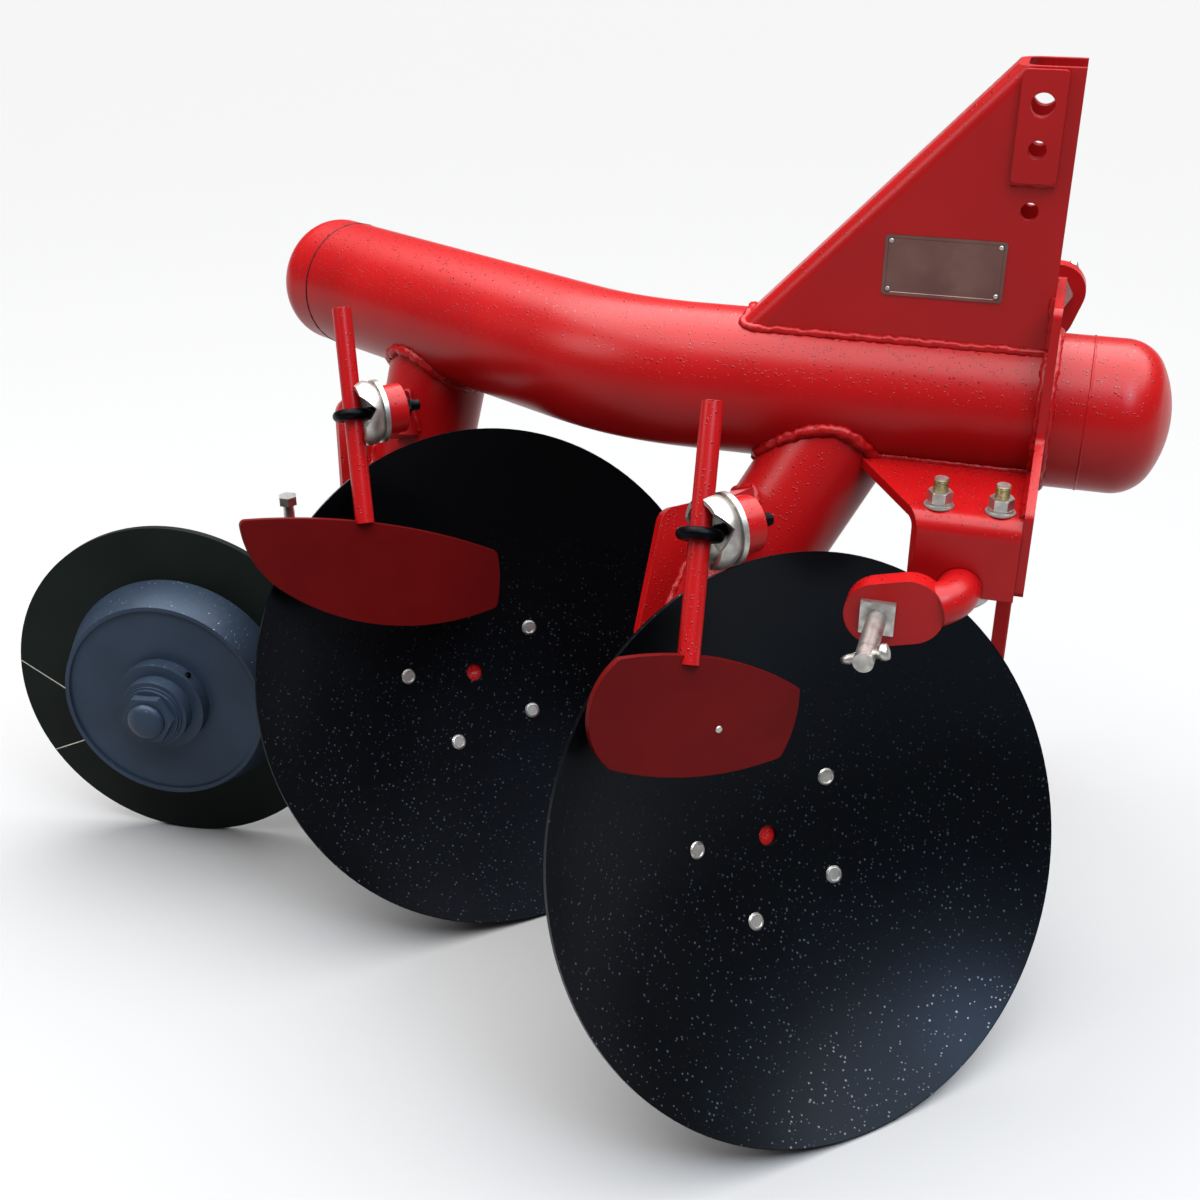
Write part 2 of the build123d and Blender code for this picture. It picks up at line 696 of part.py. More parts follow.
    export_step(cup.part, f"parts/cup_{name}.step")

# Furrow wheel
wheel_tilt = radians(WHEEL_TILT)
wheel_turn = radians(WHEEL_TURN)
wheel_z = WHEEL_R * cos(wheel_tilt) + WHEEL_T / 2 * sin(wheel_tilt)
wheel_way = Vector(cos(wheel_tilt) * sin(wheel_turn), -cos(wheel_tilt) * cos(wheel_turn), sin(wheel_tilt))
wheel_centre = at(WHEEL_X, WHEEL_Y, wheel_z)
wheel = Plane(origin=wheel_centre, x_dir=(cos(wheel_turn), sin(wheel_turn), 0), z_dir=wheel_way)

with BuildPart() as wheel_flange:
    with BuildSketch(wheel):
        Circle(WHEEL_R)
        Circle(WHEEL_HUB_R, mode=Mode.SUBTRACT)
    extrude(amount=WHEEL_T / 2, both=True)
wheel_flange.part.label = "wheel_flange"
export_step(wheel_flange.part, "parts/wheel_flange.step")

# Drum: a tapered wall from the flange to a lip, with a plate set back inside it
drum_plate = DRUM_FACE - DRUM_LIP
plate_back = drum_plate - DRUM_WALL
drum_base = WHEEL_T / 2
drum_taper = (DRUM_BASE_R - DRUM_R) / (DRUM_FACE - drum_base)
base_inner = DRUM_BASE_R - DRUM_WALL
with BuildPart() as wheel_drum:
    with BuildSketch(Plane(origin=wheel_centre, x_dir=wheel.x_dir, z_dir=-wheel.y_dir)):
        Polygon(
            (DRUM_BASE_R, drum_base),
            (DRUM_R, DRUM_FACE),
            (DRUM_R - DRUM_WALL, DRUM_FACE),
            (base_inner - drum_taper * (drum_plate - drum_base), drum_plate),
            (WHEEL_HUB_R, drum_plate),
            (WHEEL_HUB_R, plate_back),
            (base_inner - drum_taper * (plate_back - drum_base), plate_back),
            (base_inner, drum_base),
            align=None,
        )
    revolve(axis=Axis(wheel_centre, wheel_way))
wheel_drum.part.label = "wheel_drum"
export_step(wheel_drum.part, "parts/wheel_drum.step")

with BuildPart() as wheel_hub:
    with BuildSketch(wheel.offset(-WHEEL_HUB_BACK)):
        Circle(WHEEL_HUB_R)
    extrude(amount=WHEEL_HUB_BACK + drum_plate)
    step_back = drum_plate
    for step_r, step_face in BOSS_STEPS:
        with BuildSketch(wheel.offset(step_back)):
            Circle(step_r)
        extrude(amount=step_face - step_back)
        step_back = step_face
    with BuildSketch(wheel.offset(step_back)):
        RegularPolygon(AXLE_NUT_R, 6)
    extrude(amount=AXLE_NUT_FACE - step_back)
    with BuildSketch(wheel.offset(-WHEEL_HUB_BACK)):
        Circle(WHEEL_BORE_R)
    extrude(amount=WHEEL_HUB_BACK + drum_plate, mode=Mode.SUBTRACT)
wheel_hub.part.label = "wheel_hub"
export_step(wheel_hub.part, "parts/wheel_hub.step")

# Wheel post: a cranked bar from the sleeve to the wheel's axle
arm_low = feet["rear"].Z + ARM_RISE
sleeve_low = arm_low - SLEEVE_BELOW
post_z = sleeve_low + SLEEVE_H + POST_STICK
post_top = at(SLEEVE_X, SLEEVE_Y, post_z)
with BuildLine() as post_path:
    FilletPolyline(
        post_top,
        at(SLEEVE_X, SLEEVE_Y, post_z - POST_DROP),
        wheel_centre - wheel_way * AXLE_BACK,
        wheel_centre + wheel_way * AXLE_END,
        radius=POST_BEND_R,
    )
with BuildPart() as wheel_post:
    with BuildSketch(Plane(origin=post_top, z_dir=(0, 0, -1))):
        Circle(POST_R)
    sweep(path=post_path.wire())
wheel_post.part.label = "wheel_post"
export_step(wheel_post.part, "parts/wheel_post.step")

# Wheel arm with the sleeve that holds the post
arm_root = at(*ARM_ROOT, arm_low)
arm_way = at(*ARM_TIP, arm_low) - arm_root
with BuildPart() as wheel_arm:
    with BuildSketch(Plane(origin=arm_root, x_dir=arm_way, z_dir=(0, 0, 1))):
        Rectangle(arm_way.length, ARM_T, align=(Align.MIN, Align.CENTER))
    extrude(amount=ARM_H)
    add(standard_cores["rear"], mode=Mode.SUBTRACT)
    with BuildSketch(level(sleeve_low)):
        with Locations((SLEEVE_X, SLEEVE_Y)):
            Circle(SLEEVE_R)
    extrude(amount=SLEEVE_H)
    with BuildSketch(level(sleeve_low)):
        with Locations((SLEEVE_X, SLEEVE_Y)):
            Circle(POST_R)
    extrude(amount=SLEEVE_H, mode=Mode.SUBTRACT)
wheel_arm.part.label = "wheel_arm"
export_step(wheel_arm.part, "parts/wheel_arm.step")

lock_base = level(arm_low + ARM_H)
with BuildPart() as wheel_bolt:
    with BuildSketch(lock_base):
        with Locations((LOCK_X, LOCK_Y)):
            Circle(LOCK_R)
    extrude(amount=LOCK_H)
    with BuildSketch(lock_base.offset(LOCK_H - LOCK_HEAD_H)):
        with Locations((LOCK_X, LOCK_Y)):
            RegularPolygon(LOCK_HEAD_R, 6)
    extrude(amount=LOCK_HEAD_H)
wheel_bolt.part.label = "wheel_bolt"
export_step(wheel_bolt.part, "parts/wheel_bolt.step")

# Parking stand
leg_middle = (MAST_FRONT - GUIDE_GAP - LEG_T / 2, LEG_Y)
with BuildPart() as stand_leg:
    with BuildSketch(level(FOOT_T)):
        with Locations(leg_middle):
            RectangleRounded(LEG_T, LEG_W, LEG_EDGE)
    extrude(amount=BEAM_Z + LEG_ABOVE - FOOT_T)
stand_leg.part.label = "stand_leg"
export_step(stand_leg.part, "parts/stand_leg.step")

with BuildPart() as stand_foot:
    with BuildSketch(level(0)):
        with Locations(leg_middle):
            RectangleRounded(FOOT_W, FOOT_W, FOOT_CORNER)
    extrude(amount=FOOT_T)
stand_foot.part.label = "stand_foot"
export_step(stand_foot.part, "parts/stand_foot.step")

slot_depth = LEG_T + 2 * GUIDE_GAP
slot_width = LEG_W + 2 * GUIDE_GAP
with BuildPart() as stand_guide:
    with BuildSketch(level(BEAM_Z - GUIDE_BELOW)):
        with Locations((MAST_FRONT, LEG_Y)):
            Rectangle(slot_depth + GUIDE_WALL, slot_width + 2 * GUIDE_WALL, align=(Align.MAX, Align.CENTER))
            Rectangle(slot_depth, slot_width, align=(Align.MAX, Align.CENTER), mode=Mode.SUBTRACT)
    extrude(amount=GUIDE_H)
stand_guide.part.label = "stand_guide"
export_step(stand_guide.part, "parts/stand_guide.step")
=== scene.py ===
import json
from math import asin, cos, pi, radians, sin, sqrt, tau

import bpy
from mathutils import Matrix, Vector


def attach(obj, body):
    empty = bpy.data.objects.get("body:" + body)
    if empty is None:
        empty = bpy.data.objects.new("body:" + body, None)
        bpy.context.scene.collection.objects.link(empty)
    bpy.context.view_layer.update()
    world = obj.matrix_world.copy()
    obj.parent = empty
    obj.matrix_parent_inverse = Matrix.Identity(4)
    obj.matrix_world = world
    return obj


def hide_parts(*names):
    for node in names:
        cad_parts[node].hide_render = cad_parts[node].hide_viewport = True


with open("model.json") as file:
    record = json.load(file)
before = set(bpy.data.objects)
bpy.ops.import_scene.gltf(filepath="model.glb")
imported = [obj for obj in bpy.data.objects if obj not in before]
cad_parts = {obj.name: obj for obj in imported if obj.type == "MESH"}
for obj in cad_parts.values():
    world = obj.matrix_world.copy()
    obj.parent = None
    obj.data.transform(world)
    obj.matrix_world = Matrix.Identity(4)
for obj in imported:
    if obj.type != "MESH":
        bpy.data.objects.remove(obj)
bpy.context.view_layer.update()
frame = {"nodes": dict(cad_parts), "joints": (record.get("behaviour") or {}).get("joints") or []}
nodes = frame["nodes"]
joints = {joint["name"]: joint for joint in frame["joints"]}

# Sizes repeated from the part's source, in metres
BEND = Vector((0.09295, 0.07515, 0))
BEAM_Z = 0.7
BEAM_R = 0.09
BEND_ANGLE = radians(27.4)
FRONT_RUN = 0.556
REAR_RUN = 0.568
MAST_HALF = 0.042
MAST_FRONT = 0.505
MAST_FOOT_REAR = 0.07
MAST_TOP_REAR = 0.434
MAST_H = 0.388
MAST_FOLD_R = 0.02
PLATE_T = 0.01
PLATE_TOP = 0.145
LINK_X = 0.465
DOUBLER_HALF = 0.024
DOUBLER_LOW = 0.968
BRACKET_TOP = 0.647
GUSSET_REAR = 0.298
BRACKET_REAR = 0.394
BRACKET_INNER = 0.06
BRACKET_OUTER = 0.23
SHAFT_X = 0.446
SHAFT_Z = 0.564
SHAFT_R = 0.025
UBOLT_Y = 0.2
UBOLT_R = 0.008
UBOLT_STICK = 0.033
DISC_R = 0.33
DISH = 0.11
HUB_FLANGE_BACK = 0.126
STANDARD_R = 0.07
STANDARD_FOOT = (-0.0182, 0.1587, -0.2847)
CARRIER_FRONT = 0.23
CARRIER_T = 0.014
CARRIER_EYE_R = 0.085
CARRIERS = {
    "front": ((-0.056, 0.256), (0.01, 0.396), (0.09, 0.396), (0.125, 0.3)),
    "rear": ((-0.097, 0.285), (-0.078, 0.416), (0.07, 0.416), (0.095, 0.3)),
}
RING_HEIGHT = 0.371
BLADE_DROP = 0.111
BLADE_LIFT = 0.036
BLADE_TILT = radians(16.7)
ROD_LIFT = 0.026
RING_R = 0.007
LUG_T = 0.028
LUG_H = 0.062
LUG_SPAN = 0.05
LUG_ELBOW = 0.04
BOLT_NUT_H = 0.01
BOLT_STICK = 0.014
# Each scraper: across to its ring, across to its lug's root, and the root's depth behind the rim
SCRAPERS = {"front": (-0.088, 0.088, 0.165), "rear": (-0.137, -0.01, 0.15)}
ARM_T = 0.022
ARM_H = 0.048
ARM_RISE = 0.014
ARM_TIP = (-0.544, 0.04)
ARM_ROOT = (-0.367, 0.1)
WHEEL_R = 0.235
WHEEL_T = 0.01
DRUM_BASE_R = 0.16
BOSS_R = 0.064
BOSS_MIDDLE = 0.067
AXLE_NUT_FACE = 0.116
GUIDE_REAR = 0.4744
LEG_Y = 0.296
GUIDE_Z = 0.6525
# Each lower link pin: its tip and the way it points along Y
PIN_TIPS = (("right", (0.366, -0.3925, 0.544), -1), ("left", (0.506, 0.4945, 0.745), 1))
# Each disc's row: where its standard stands along the beam from the bend
ROWS = (("front", 0.302), ("rear", -0.35))


def at(x, y, z):
    return BEND + Vector((x, y, z))


# Camera: the photograph's angle, a 45 mm lens on a square 36 mm frame
LENS = 45
SENSOR = 36
CAMERA_PLACE = (0.5969, -1.6834, 1.306)
LOOK_DOWN = 27.1
LOOK_LEFT = 17.15
camera_data = bpy.data.cameras.new("camera")
camera_data.sensor_fit = "HORIZONTAL"
camera_data.sensor_width = SENSOR
camera_data.lens = LENS
camera = bpy.data.objects.new("camera", camera_data)
camera.location = CAMERA_PLACE
camera.rotation_euler = (radians(90 - LOOK_DOWN), 0, radians(LOOK_LEFT))
bpy.context.scene.collection.objects.link(camera)
bpy.context.scene.camera = camera
# Colours are shown as they are lit, without a film curve
bpy.context.scene.view_settings.view_transform = "Standard"


# Materials
def linear(code):
    parts = [int(code[i : i + 2], 16) / 255 for i in (1, 3, 5)]
    return [p / 12.92 if p <= 0.04045 else ((p + 0.055) / 1.055) ** 2.4 for p in parts] + [1]


def add(tree, kind, sockets=(), **settings):
    node = tree.nodes.new(kind)
    for key, value in settings.items():
        setattr(node, key, value)
    for socket, value in dict(sockets).items():
        if isinstance(value, bpy.types.NodeSocket):
            tree.links.new(value, node.inputs[socket])
        else:
            node.inputs[socket].default_value = value
    return node


def shader(name):
    material = bpy.data.materials.new(name)
    material.use_nodes = True
    tree = material.node_tree
    place = add(tree, "ShaderNodeTexCoord").outputs["Object"]
    return material, tree, tree.nodes["Principled BSDF"], place


# Lengths in the finishes, in metres
TONE_PATCH = 0.15
FILM_EDGE = 0.0015
PEEL_GRAIN = 0.003
PEEL_DEPTH = 0.0006
MARK_GRAIN = 0.0015
MARK_DEPTH = 0.0004
DROP_HEIGHT = 0.0014
# Water: how clear its drops shine, and how much it bends light
DROP_ROUGHNESS = 0.12
DROP_COAT_ROUGHNESS = 0.08
WATER_IOR = 1.33
# How far up a face has to look to keep its first drops, and to keep them all
DRY_LIE = 0.02
WET_LIE = 0.7


def raindrops(tree, place, spacing, share, largest):
    # Domed drops, one at most to a cell, of mixed sizes; returns each drop's height from 0 to 1
    widest = largest / spacing
    cell = add(tree, "ShaderNodeTexVoronoi", {"Vector": place, "Scale": 1 / spacing, "Randomness": 0.9})
    chance = add(tree, "ShaderNodeSeparateColor", {"Color": cell.outputs["Color"]})
    size = add(tree, "ShaderNodeMapRange", {
        "Value": chance.outputs["Red"], "From Min": 1 - share, "From Max": 1, "To Min": 0, "To Max": widest,
    })
    within = add(tree, "ShaderNodeMath", {
        0: size.outputs[0], 1: cell.outputs["Distance"],
    }, operation="SUBTRACT")
    dome = add(tree, "ShaderNodeMapRange", {
        "Value": within.outputs[0], "From Min": 0, "From Max": widest / 2,
    }, interpolation_type="SMOOTHSTEP")
    return dome.outputs[0]


def sprayed_paint(
    name, dark, light, roughness, sheen, peel, drops_every, drop_share, drop_size, drop_tint_and_glint,
    reflection="#FFFFFF",
):
    # Sprayed enamel on steel: even gloss, softened edges, a faint orange peel and rain on its upper faces
    material, tree, surface, place = shader(name)
    patch = add(tree, "ShaderNodeTexNoise", {"Vector": place, "Scale": 1 / TONE_PATCH, "Detail": 3})
    tone = add(tree, "ShaderNodeMapRange", {"Value": patch.outputs["Fac"], "From Min": 0.3, "From Max": 0.7})
    colour = add(tree, "ShaderNodeMix", {
        0: tone.outputs[0], 6: linear(dark), 7: linear(light),
    }, data_type="RGBA")
    rain = raindrops(tree, place, drops_every, drop_share, drop_size)
    lie = add(tree, "ShaderNodeSeparateXYZ", {"Vector": place.node.outputs["Normal"]})
    caught = add(tree, "ShaderNodeMapRange", {
        "Value": lie.outputs["Z"], "From Min": DRY_LIE, "From Max": WET_LIE,
    })
    drops = add(tree, "ShaderNodeMath", {0: rain, 1: caught.outputs[0]}, operation="MULTIPLY").outputs[0]
    # The drops' tint is partly painted light: a paler drop is a painted glint, a darker one on the red is
    # painted shade where the drop breaks up the highlight
    wet_and_glint_colour = add(tree, "ShaderNodeMix", {
        0: drops, 6: colour.outputs[2], 7: linear(drop_tint_and_glint),
    }, data_type="RGBA")
    edge = add(tree, "ShaderNodeBevel", {"Radius": FILM_EDGE}, samples=4)
    skin = add(tree, "ShaderNodeTexNoise", {"Vector": place, "Scale": 1 / PEEL_GRAIN, "Detail": 2})
    peel_bump = add(tree, "ShaderNodeBump", {
        "Height": skin.outputs["Fac"], "Strength": peel, "Distance": PEEL_DEPTH, "Normal": edge.outputs[0],
    })
    drop_bump = add(tree, "ShaderNodeBump", {
        "Height": drops, "Strength": 0.6, "Distance": DROP_HEIGHT, "Normal": peel_bump.outputs[0],
    })
    gloss = add(tree, "ShaderNodeMapRange", {
        "Value": drops, "To Min": roughness, "To Max": DROP_ROUGHNESS,
    })
    tree.links.new(wet_and_glint_colour.outputs[2], surface.inputs["Base Color"])
    tree.links.new(gloss.outputs[0], surface.inputs["Roughness"])
    tree.links.new(drop_bump.outputs[0], surface.inputs["Normal"])
    tree.links.new(drops, surface.inputs["Coat Weight"])
    surface.inputs["Coat Roughness"].default_value = DROP_COAT_ROUGHNESS
    surface.inputs["Coat IOR"].default_value = WATER_IOR
    surface.inputs["Specular IOR Level"].default_value = sheen
    surface.inputs["Specular Tint"].default_value = linear(reflection)
    return material


def plated_metal(name, dark, light, roughness, grain):
    # Plated metal: a bright surface mottled by the bath, with fine marks from handling
    material, tree, surface, place = shader(name)
    mottle = add(tree, "ShaderNodeTexNoise", {"Vector": place, "Scale": 1 / grain, "Detail": 5})
    tone = add(tree, "ShaderNodeMapRange", {
        "Value": mottle.outputs["Fac"], "From Min": 0.35, "From Max": 0.65,
    })
    colour = add(tree, "ShaderNodeMix", {
        0: tone.outputs[0], 6: linear(dark), 7: linear(light),
    }, data_type="RGBA")
    rough = add(tree, "ShaderNodeMapRange", {
        "Value": mottle.outputs["Fac"], "From Min": 0.3, "From Max": 0.7,
        "To Min": roughness + 0.1, "To Max": roughness - 0.08,
    })
    marks = add(tree, "ShaderNodeTexNoise", {"Vector": place, "Scale": 1 / MARK_GRAIN, "Detail": 2})
    bump = add(tree, "ShaderNodeBump", {
        "Height": marks.outputs["Fac"], "Strength": 0.12, "Distance": MARK_DEPTH,
    })
    tree.links.new(colour.outputs[2], surface.inputs["Base Color"])
    tree.links.new(rough.outputs[0], surface.inputs["Roughness"])
    tree.links.new(bump.outputs[0], surface.inputs["Normal"])
    surface.inputs["Metallic"].default_value = 1
    return material


# Glossy red enamel: deep red that pales where it faces the sky; its drops are tinted darker, painted shade
# where they break up the highlight
red_enamel = sprayed_paint(
    "red_enamel", dark="#860709", light="#900A0C", roughness=0.32, sheen=0.2, peel=0.08,
    drops_every=0.004, drop_share=0.8, drop_size=0.0018, drop_tint_and_glint="#520405",
)
# The blades' red in a duller coat, darkened as painted shade for their down-turned faces
shaded_blade_red = sprayed_paint(
    "shaded_blade_red", dark="#480607", light="#520808", roughness=0.42, sheen=0.06, peel=0.08,
    drops_every=0.014, drop_share=0.2, drop_size=0.0018, drop_tint_and_glint="#600A0B",
)
# The wet dark paints give back the light a little cooler than it falls
COOL_LIGHT = "#B9CEEC"
# Black enamel: nearly no colour of its own, with a cool sheen; its pale drops are painted glints
black_enamel = sprayed_paint(
    "black_enamel", dark="#030304", light="#050607", roughness=0.33, sheen=0.11, peel=0.06,
    drops_every=0.0048, drop_share=0.8, drop_size=0.0019, drop_tint_and_glint="#303841", reflection=COOL_LIGHT,
)
# Red enamel darkened to a painted shadow, standing for the shade in the groove of a seam
seam_painted_shade = sprayed_paint(
    "seam_painted_shade", dark="#2C0304", light="#360405", roughness=0.5, sheen=0.1, peel=0.08,
    drops_every=0.009, drop_share=0.2, drop_size=0.0016, drop_tint_and_glint="#300304",
)
# Dark satin enamel: a green-black that hardly shines; its paler drops are painted glints
dark_enamel = sprayed_paint(
    "dark_enamel", dark="#080D0B", light="#0F1512", roughness=0.5, sheen=0.08, peel=0.15,
    drops_every=0.008, drop_share=0.3, drop_size=0.0018, drop_tint_and_glint="#1A2022",
)
# Blue-grey enamel: a cool satin over a rougher casting; its paler drops are painted glints
grey_enamel = sprayed_paint(
    "grey_enamel", dark="#1C242E", light="#26303E", roughness=0.4, sheen=0.3, peel=0.3,
    drops_every=0.005, drop_share=0.8, drop_size=0.0019, drop_tint_and_glint="#465060", reflection=COOL_LIGHT,
)
# Bare and plated metals: grey zinc, yellow passivated zinc, blackened steel, bare steel and dull aluminium;
# the aluminium's red-brown is its print and a painted reflection of the red around it
zinc_plate = plated_metal("zinc_plate", "#9A9792", "#BDBAB5", roughness=0.4, grain=0.012)
yellow_zinc = plated_metal("yellow_zinc", "#7A6C4C", "#A08D64", roughness=0.4, grain=0.008)
black_steel = plated_metal("black_steel", "#08080A", "#141417", roughness=0.42, grain=0.01)
bare_steel = plated_metal("bare_steel", "#B8B2A6", "#CFCABF", roughness=0.4, grain=0.01)
aluminium_print_and_reflection = plated_metal("aluminium_print_and_reflection", "#6A4C48", "#765852", roughness=0.42, grain=0.05)

# Nodes that aren't painted red
FINISHES = {
    "disc_front": black_enamel, "disc_rear": black_enamel,
    "wheel_flange": dark_enamel, "wheel_drum": grey_enamel, "wheel_hub": grey_enamel,
    "u_bolt_right": zinc_plate, "u_bolt_left": zinc_plate, "pin_right": zinc_plate, "pin_left": zinc_plate,
    "cup_front": zinc_plate, "cup_rear": zinc_plate, "wheel_bolt": zinc_plate,
    "eye_bolt_front": black_steel, "eye_bolt_rear": black_steel,
    "blade_front": shaded_blade_red, "blade_rear": shaded_blade_red,
}
for name, node in nodes.items():
    node.data.materials.clear()
    node.data.materials.append(FINISHES.get(name, red_enamel))


# Meshes
ROUND_SIDES = 20
BOLT_SIDES = 24
WASHER_SIDES = 28
WIDE_SIDES = 32
WIRE_SIDES = 10


def mesh_piece(name, vertices, faces, material, smooth=False):
    mesh = bpy.data.meshes.new(name)
    mesh.from_pydata([tuple(v) for v in vertices], [], faces)
    mesh.materials.append(material)
    for polygon in mesh.polygons:
        polygon.use_smooth = smooth
    piece = bpy.data.objects.new(name, mesh)
    bpy.context.scene.collection.objects.link(piece)
    return piece


def skinned(rings):
    # Vertices and faces of a skin over rings of equal length, closed at both ends
    count = len(rings[0])
    vertices = [vertex for ring in rings for vertex in ring]
    faces = []
    for low in range(0, (len(rings) - 1) * count, count):
        high = low + count
        for i in range(count):
            j = (i + 1) % count
            faces.append((low + i, low + j, high + j, high + i))
    faces.append(tuple(reversed(range(count))))
    faces.append(tuple(range(len(vertices) - count, len(vertices))))
    return vertices, faces


def ring_points(radius, steps):
    angles = [tau * i / steps for i in range(steps)]
    return [Vector((radius * cos(angle), radius * sin(angle), 0)) for angle in angles]


def turned(profile, sides=ROUND_SIDES):
    # A turned shape round Z from (radius, height) pairs
    return skinned([
        [spot + Vector((0, 0, height)) for spot in ring_points(radius, sides)]
        for radius, height in profile
    ])


def joined(parts):
    # One list of vertices and faces from several (vertices, faces, place) parts
    vertices, faces = [], []
    for part_vertices, part_faces, place in parts:
        start = len(vertices)
        vertices += [place @ v for v in part_vertices]
        faces += [tuple(start + i for i in face) for face in part_faces]
    return vertices, faces


def plane_at(origin, way, side):
    # Matrix whose X is side, squared to Z, and whose Z is way
    z = Vector(way).normalized()
    x = (Vector(side) - Vector(side).dot(z) * z).normalized()
    y = z.cross(x)
    return Matrix((
        (x.x, y.x, z.x, origin.x), (x.y, y.y, z.y, origin.y), (x.z, y.z, z.z, origin.z), (0, 0, 0, 1),
    ))


def lifted(height):
    return Matrix.Translation((0, 0, height))


def nut(radius, height):
    # A hexagon nut whose corners are rounded off at both faces
    edge = radius * 0.93
    chamfer = radius * 0.1
    rings = []
    for limit, level in ((edge, 0), (radius, chamfer), (radius, height - chamfer), (edge, height)):
        ring = []
        for i, spot in enumerate(ring_points(1, BOLT_SIDES)):
            from_flat = (tau * i / BOLT_SIDES) % (pi / 3) - pi / 6
            reach = min(limit, radius * cos(pi / 6) / cos(from_flat))
            ring.append(spot * reach + Vector((0, 0, level)))
        rings.append(ring)
    return skinned(rings)


# Trees of nodes: one for each thing that repeats or follows a path
BEAD_STEP = 0.003
BEAD_SIDES = 10
RIPPLE_LENGTH = 0.007
THREAD_STEPS = 20
THREAD_SIDES = 4


def node_tree(name, inputs):
    tree = bpy.data.node_groups.new(name, "GeometryNodeTree")
    tree.interface.new_socket("Geometry", in_out="INPUT", socket_type="NodeSocketGeometry")
    for label, kind in inputs:
        tree.interface.new_socket(label, in_out="INPUT", socket_type=kind)
    tree.interface.new_socket("Geometry", in_out="OUTPUT", socket_type="NodeSocketGeometry")
    return tree, tree.nodes.new("NodeGroupInput").outputs


def close_tree(tree, geometry, material):
    real = add(tree, "GeometryNodeRealizeInstances", {"Geometry": geometry})
    dressed = add(tree, "GeometryNodeSetMaterial", {"Geometry": real.outputs[0], "Material": material})
    add(tree, "NodeGroupOutput", {0: dressed.outputs[0]})


def made_plain(source, tree, values, name):
    # Runs a tree on an object and leaves one plain mesh object in its place
    modifier = source.modifiers.new(tree.name, "NODES")
    modifier.node_group = tree
    for item in tree.interface.items_tree:
        if item.in_out == "INPUT" and item.name in values:
            modifier[item.identifier] = values[item.name]
    graph = bpy.context.evaluated_depsgraph_get()
    mesh = bpy.data.meshes.new_from_object(source.evaluated_get(graph))
    source.modifiers.remove(modifier)
    bpy.data.objects.remove(source)
    mesh.name = name
    piece = bpy.data.objects.new(name, mesh)
    bpy.context.scene.collection.objects.link(piece)
    return piece


bead_tree, bead_in = node_tree("weld_bead", (
    ("Radius", "NodeSocketFloat"), ("Ripple", "NodeSocketFloat"), ("Material", "NodeSocketMaterial"),
))
bead_path = add(bead_tree, "GeometryNodeResampleCurve", {
    "Curve": bead_in["Geometry"], "Length": BEAD_STEP,
}, mode="LENGTH")
bead_ring = add(bead_tree, "GeometryNodeCurvePrimitiveCircle", {
    "Resolution": BEAD_SIDES, "Radius": bead_in["Radius"],
})
bead_mesh = add(bead_tree, "GeometryNodeCurveToMesh", {
    "Curve": bead_path.outputs[0], "Profile Curve": bead_ring.outputs[0], "Fill Caps": True,
})
bead_noise = add(bead_tree, "ShaderNodeTexNoise", {"Scale": 1 / RIPPLE_LENGTH, "Detail": 1})
bead_wave = add(bead_tree, "ShaderNodeMapRange", {
    "Value": bead_noise.outputs["Fac"], "From Min": 0.3, "From Max": 0.7, "To Min": -1, "To Max": 1,
})
bead_lift = add(bead_tree, "ShaderNodeMath", {
    0: bead_wave.outputs[0], 1: bead_in["Ripple"],
}, operation="MULTIPLY")
bead_normal = add(bead_tree, "GeometryNodeInputNormal")
bead_shift = add(bead_tree, "ShaderNodeVectorMath", {
    0: bead_normal.outputs[0], 3: bead_lift.outputs[0],
}, operation="SCALE")
bead_moved = add(bead_tree, "GeometryNodeSetPosition", {
    "Geometry": bead_mesh.outputs[0], "Offset": bead_shift.outputs[0],
})
bead_smooth = add(bead_tree, "GeometryNodeSetShadeSmooth", {"Geometry": bead_moved.outputs[0]})
close_tree(bead_tree, bead_smooth.outputs[0], bead_in["Material"])

circle_tree, circle_in = node_tree("circle_of_pieces", (
    ("Count", "NodeSocketInt"), ("Phase", "NodeSocketFloat"), ("Material", "NodeSocketMaterial"),
))
circle_points = add(circle_tree, "GeometryNodePoints", {"Count": circle_in["Count"], "Position": (0, 0, 0)})
circle_index = add(circle_tree, "GeometryNodeInputIndex")
circle_share = add(circle_tree, "ShaderNodeMath", {
    0: circle_index.outputs[0], 1: circle_in["Count"],
}, operation="DIVIDE")
circle_angle = add(circle_tree, "ShaderNodeMath", {
    0: circle_share.outputs[0], 1: tau, 2: circle_in["Phase"],
}, operation="MULTIPLY_ADD")
circle_turn = add(circle_tree, "ShaderNodeCombineXYZ", {"Z": circle_angle.outputs[0]})
circle_copies = add(circle_tree, "GeometryNodeInstanceOnPoints", {
    "Points": circle_points.outputs[0], "Instance": circle_in["Geometry"], "Rotation": circle_turn.outputs[0],
})
close_tree(circle_tree, circle_copies.outputs[0], circle_in["Material"])

thread_tree, thread_in = node_tree("screw_thread", (
    ("Turns", "NodeSocketFloat"), ("Radius", "NodeSocketFloat"), ("Height", "NodeSocketFloat"),
    ("Ridge", "NodeSocketFloat"), ("Material", "NodeSocketMaterial"),
))
thread_path = add(thread_tree, "GeometryNodeCurveSpiral", {
    "Resolution": THREAD_STEPS, "Rotations": thread_in["Turns"], "Start Radius": thread_in["Radius"],
    "End Radius": thread_in["Radius"], "Height": thread_in["Height"],
})
thread_ridge = add(thread_tree, "GeometryNodeCurvePrimitiveCircle", {
    "Resolution": THREAD_SIDES, "Radius": thread_in["Ridge"],
})
thread_mesh = add(thread_tree, "GeometryNodeCurveToMesh", {
    "Curve": thread_path.outputs[0], "Profile Curve": thread_ridge.outputs[0], "Fill Caps": True,
})
close_tree(thread_tree, thread_mesh.outputs[0], thread_in["Material"])


def ridden(piece, body):
    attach(piece, body)
    return piece


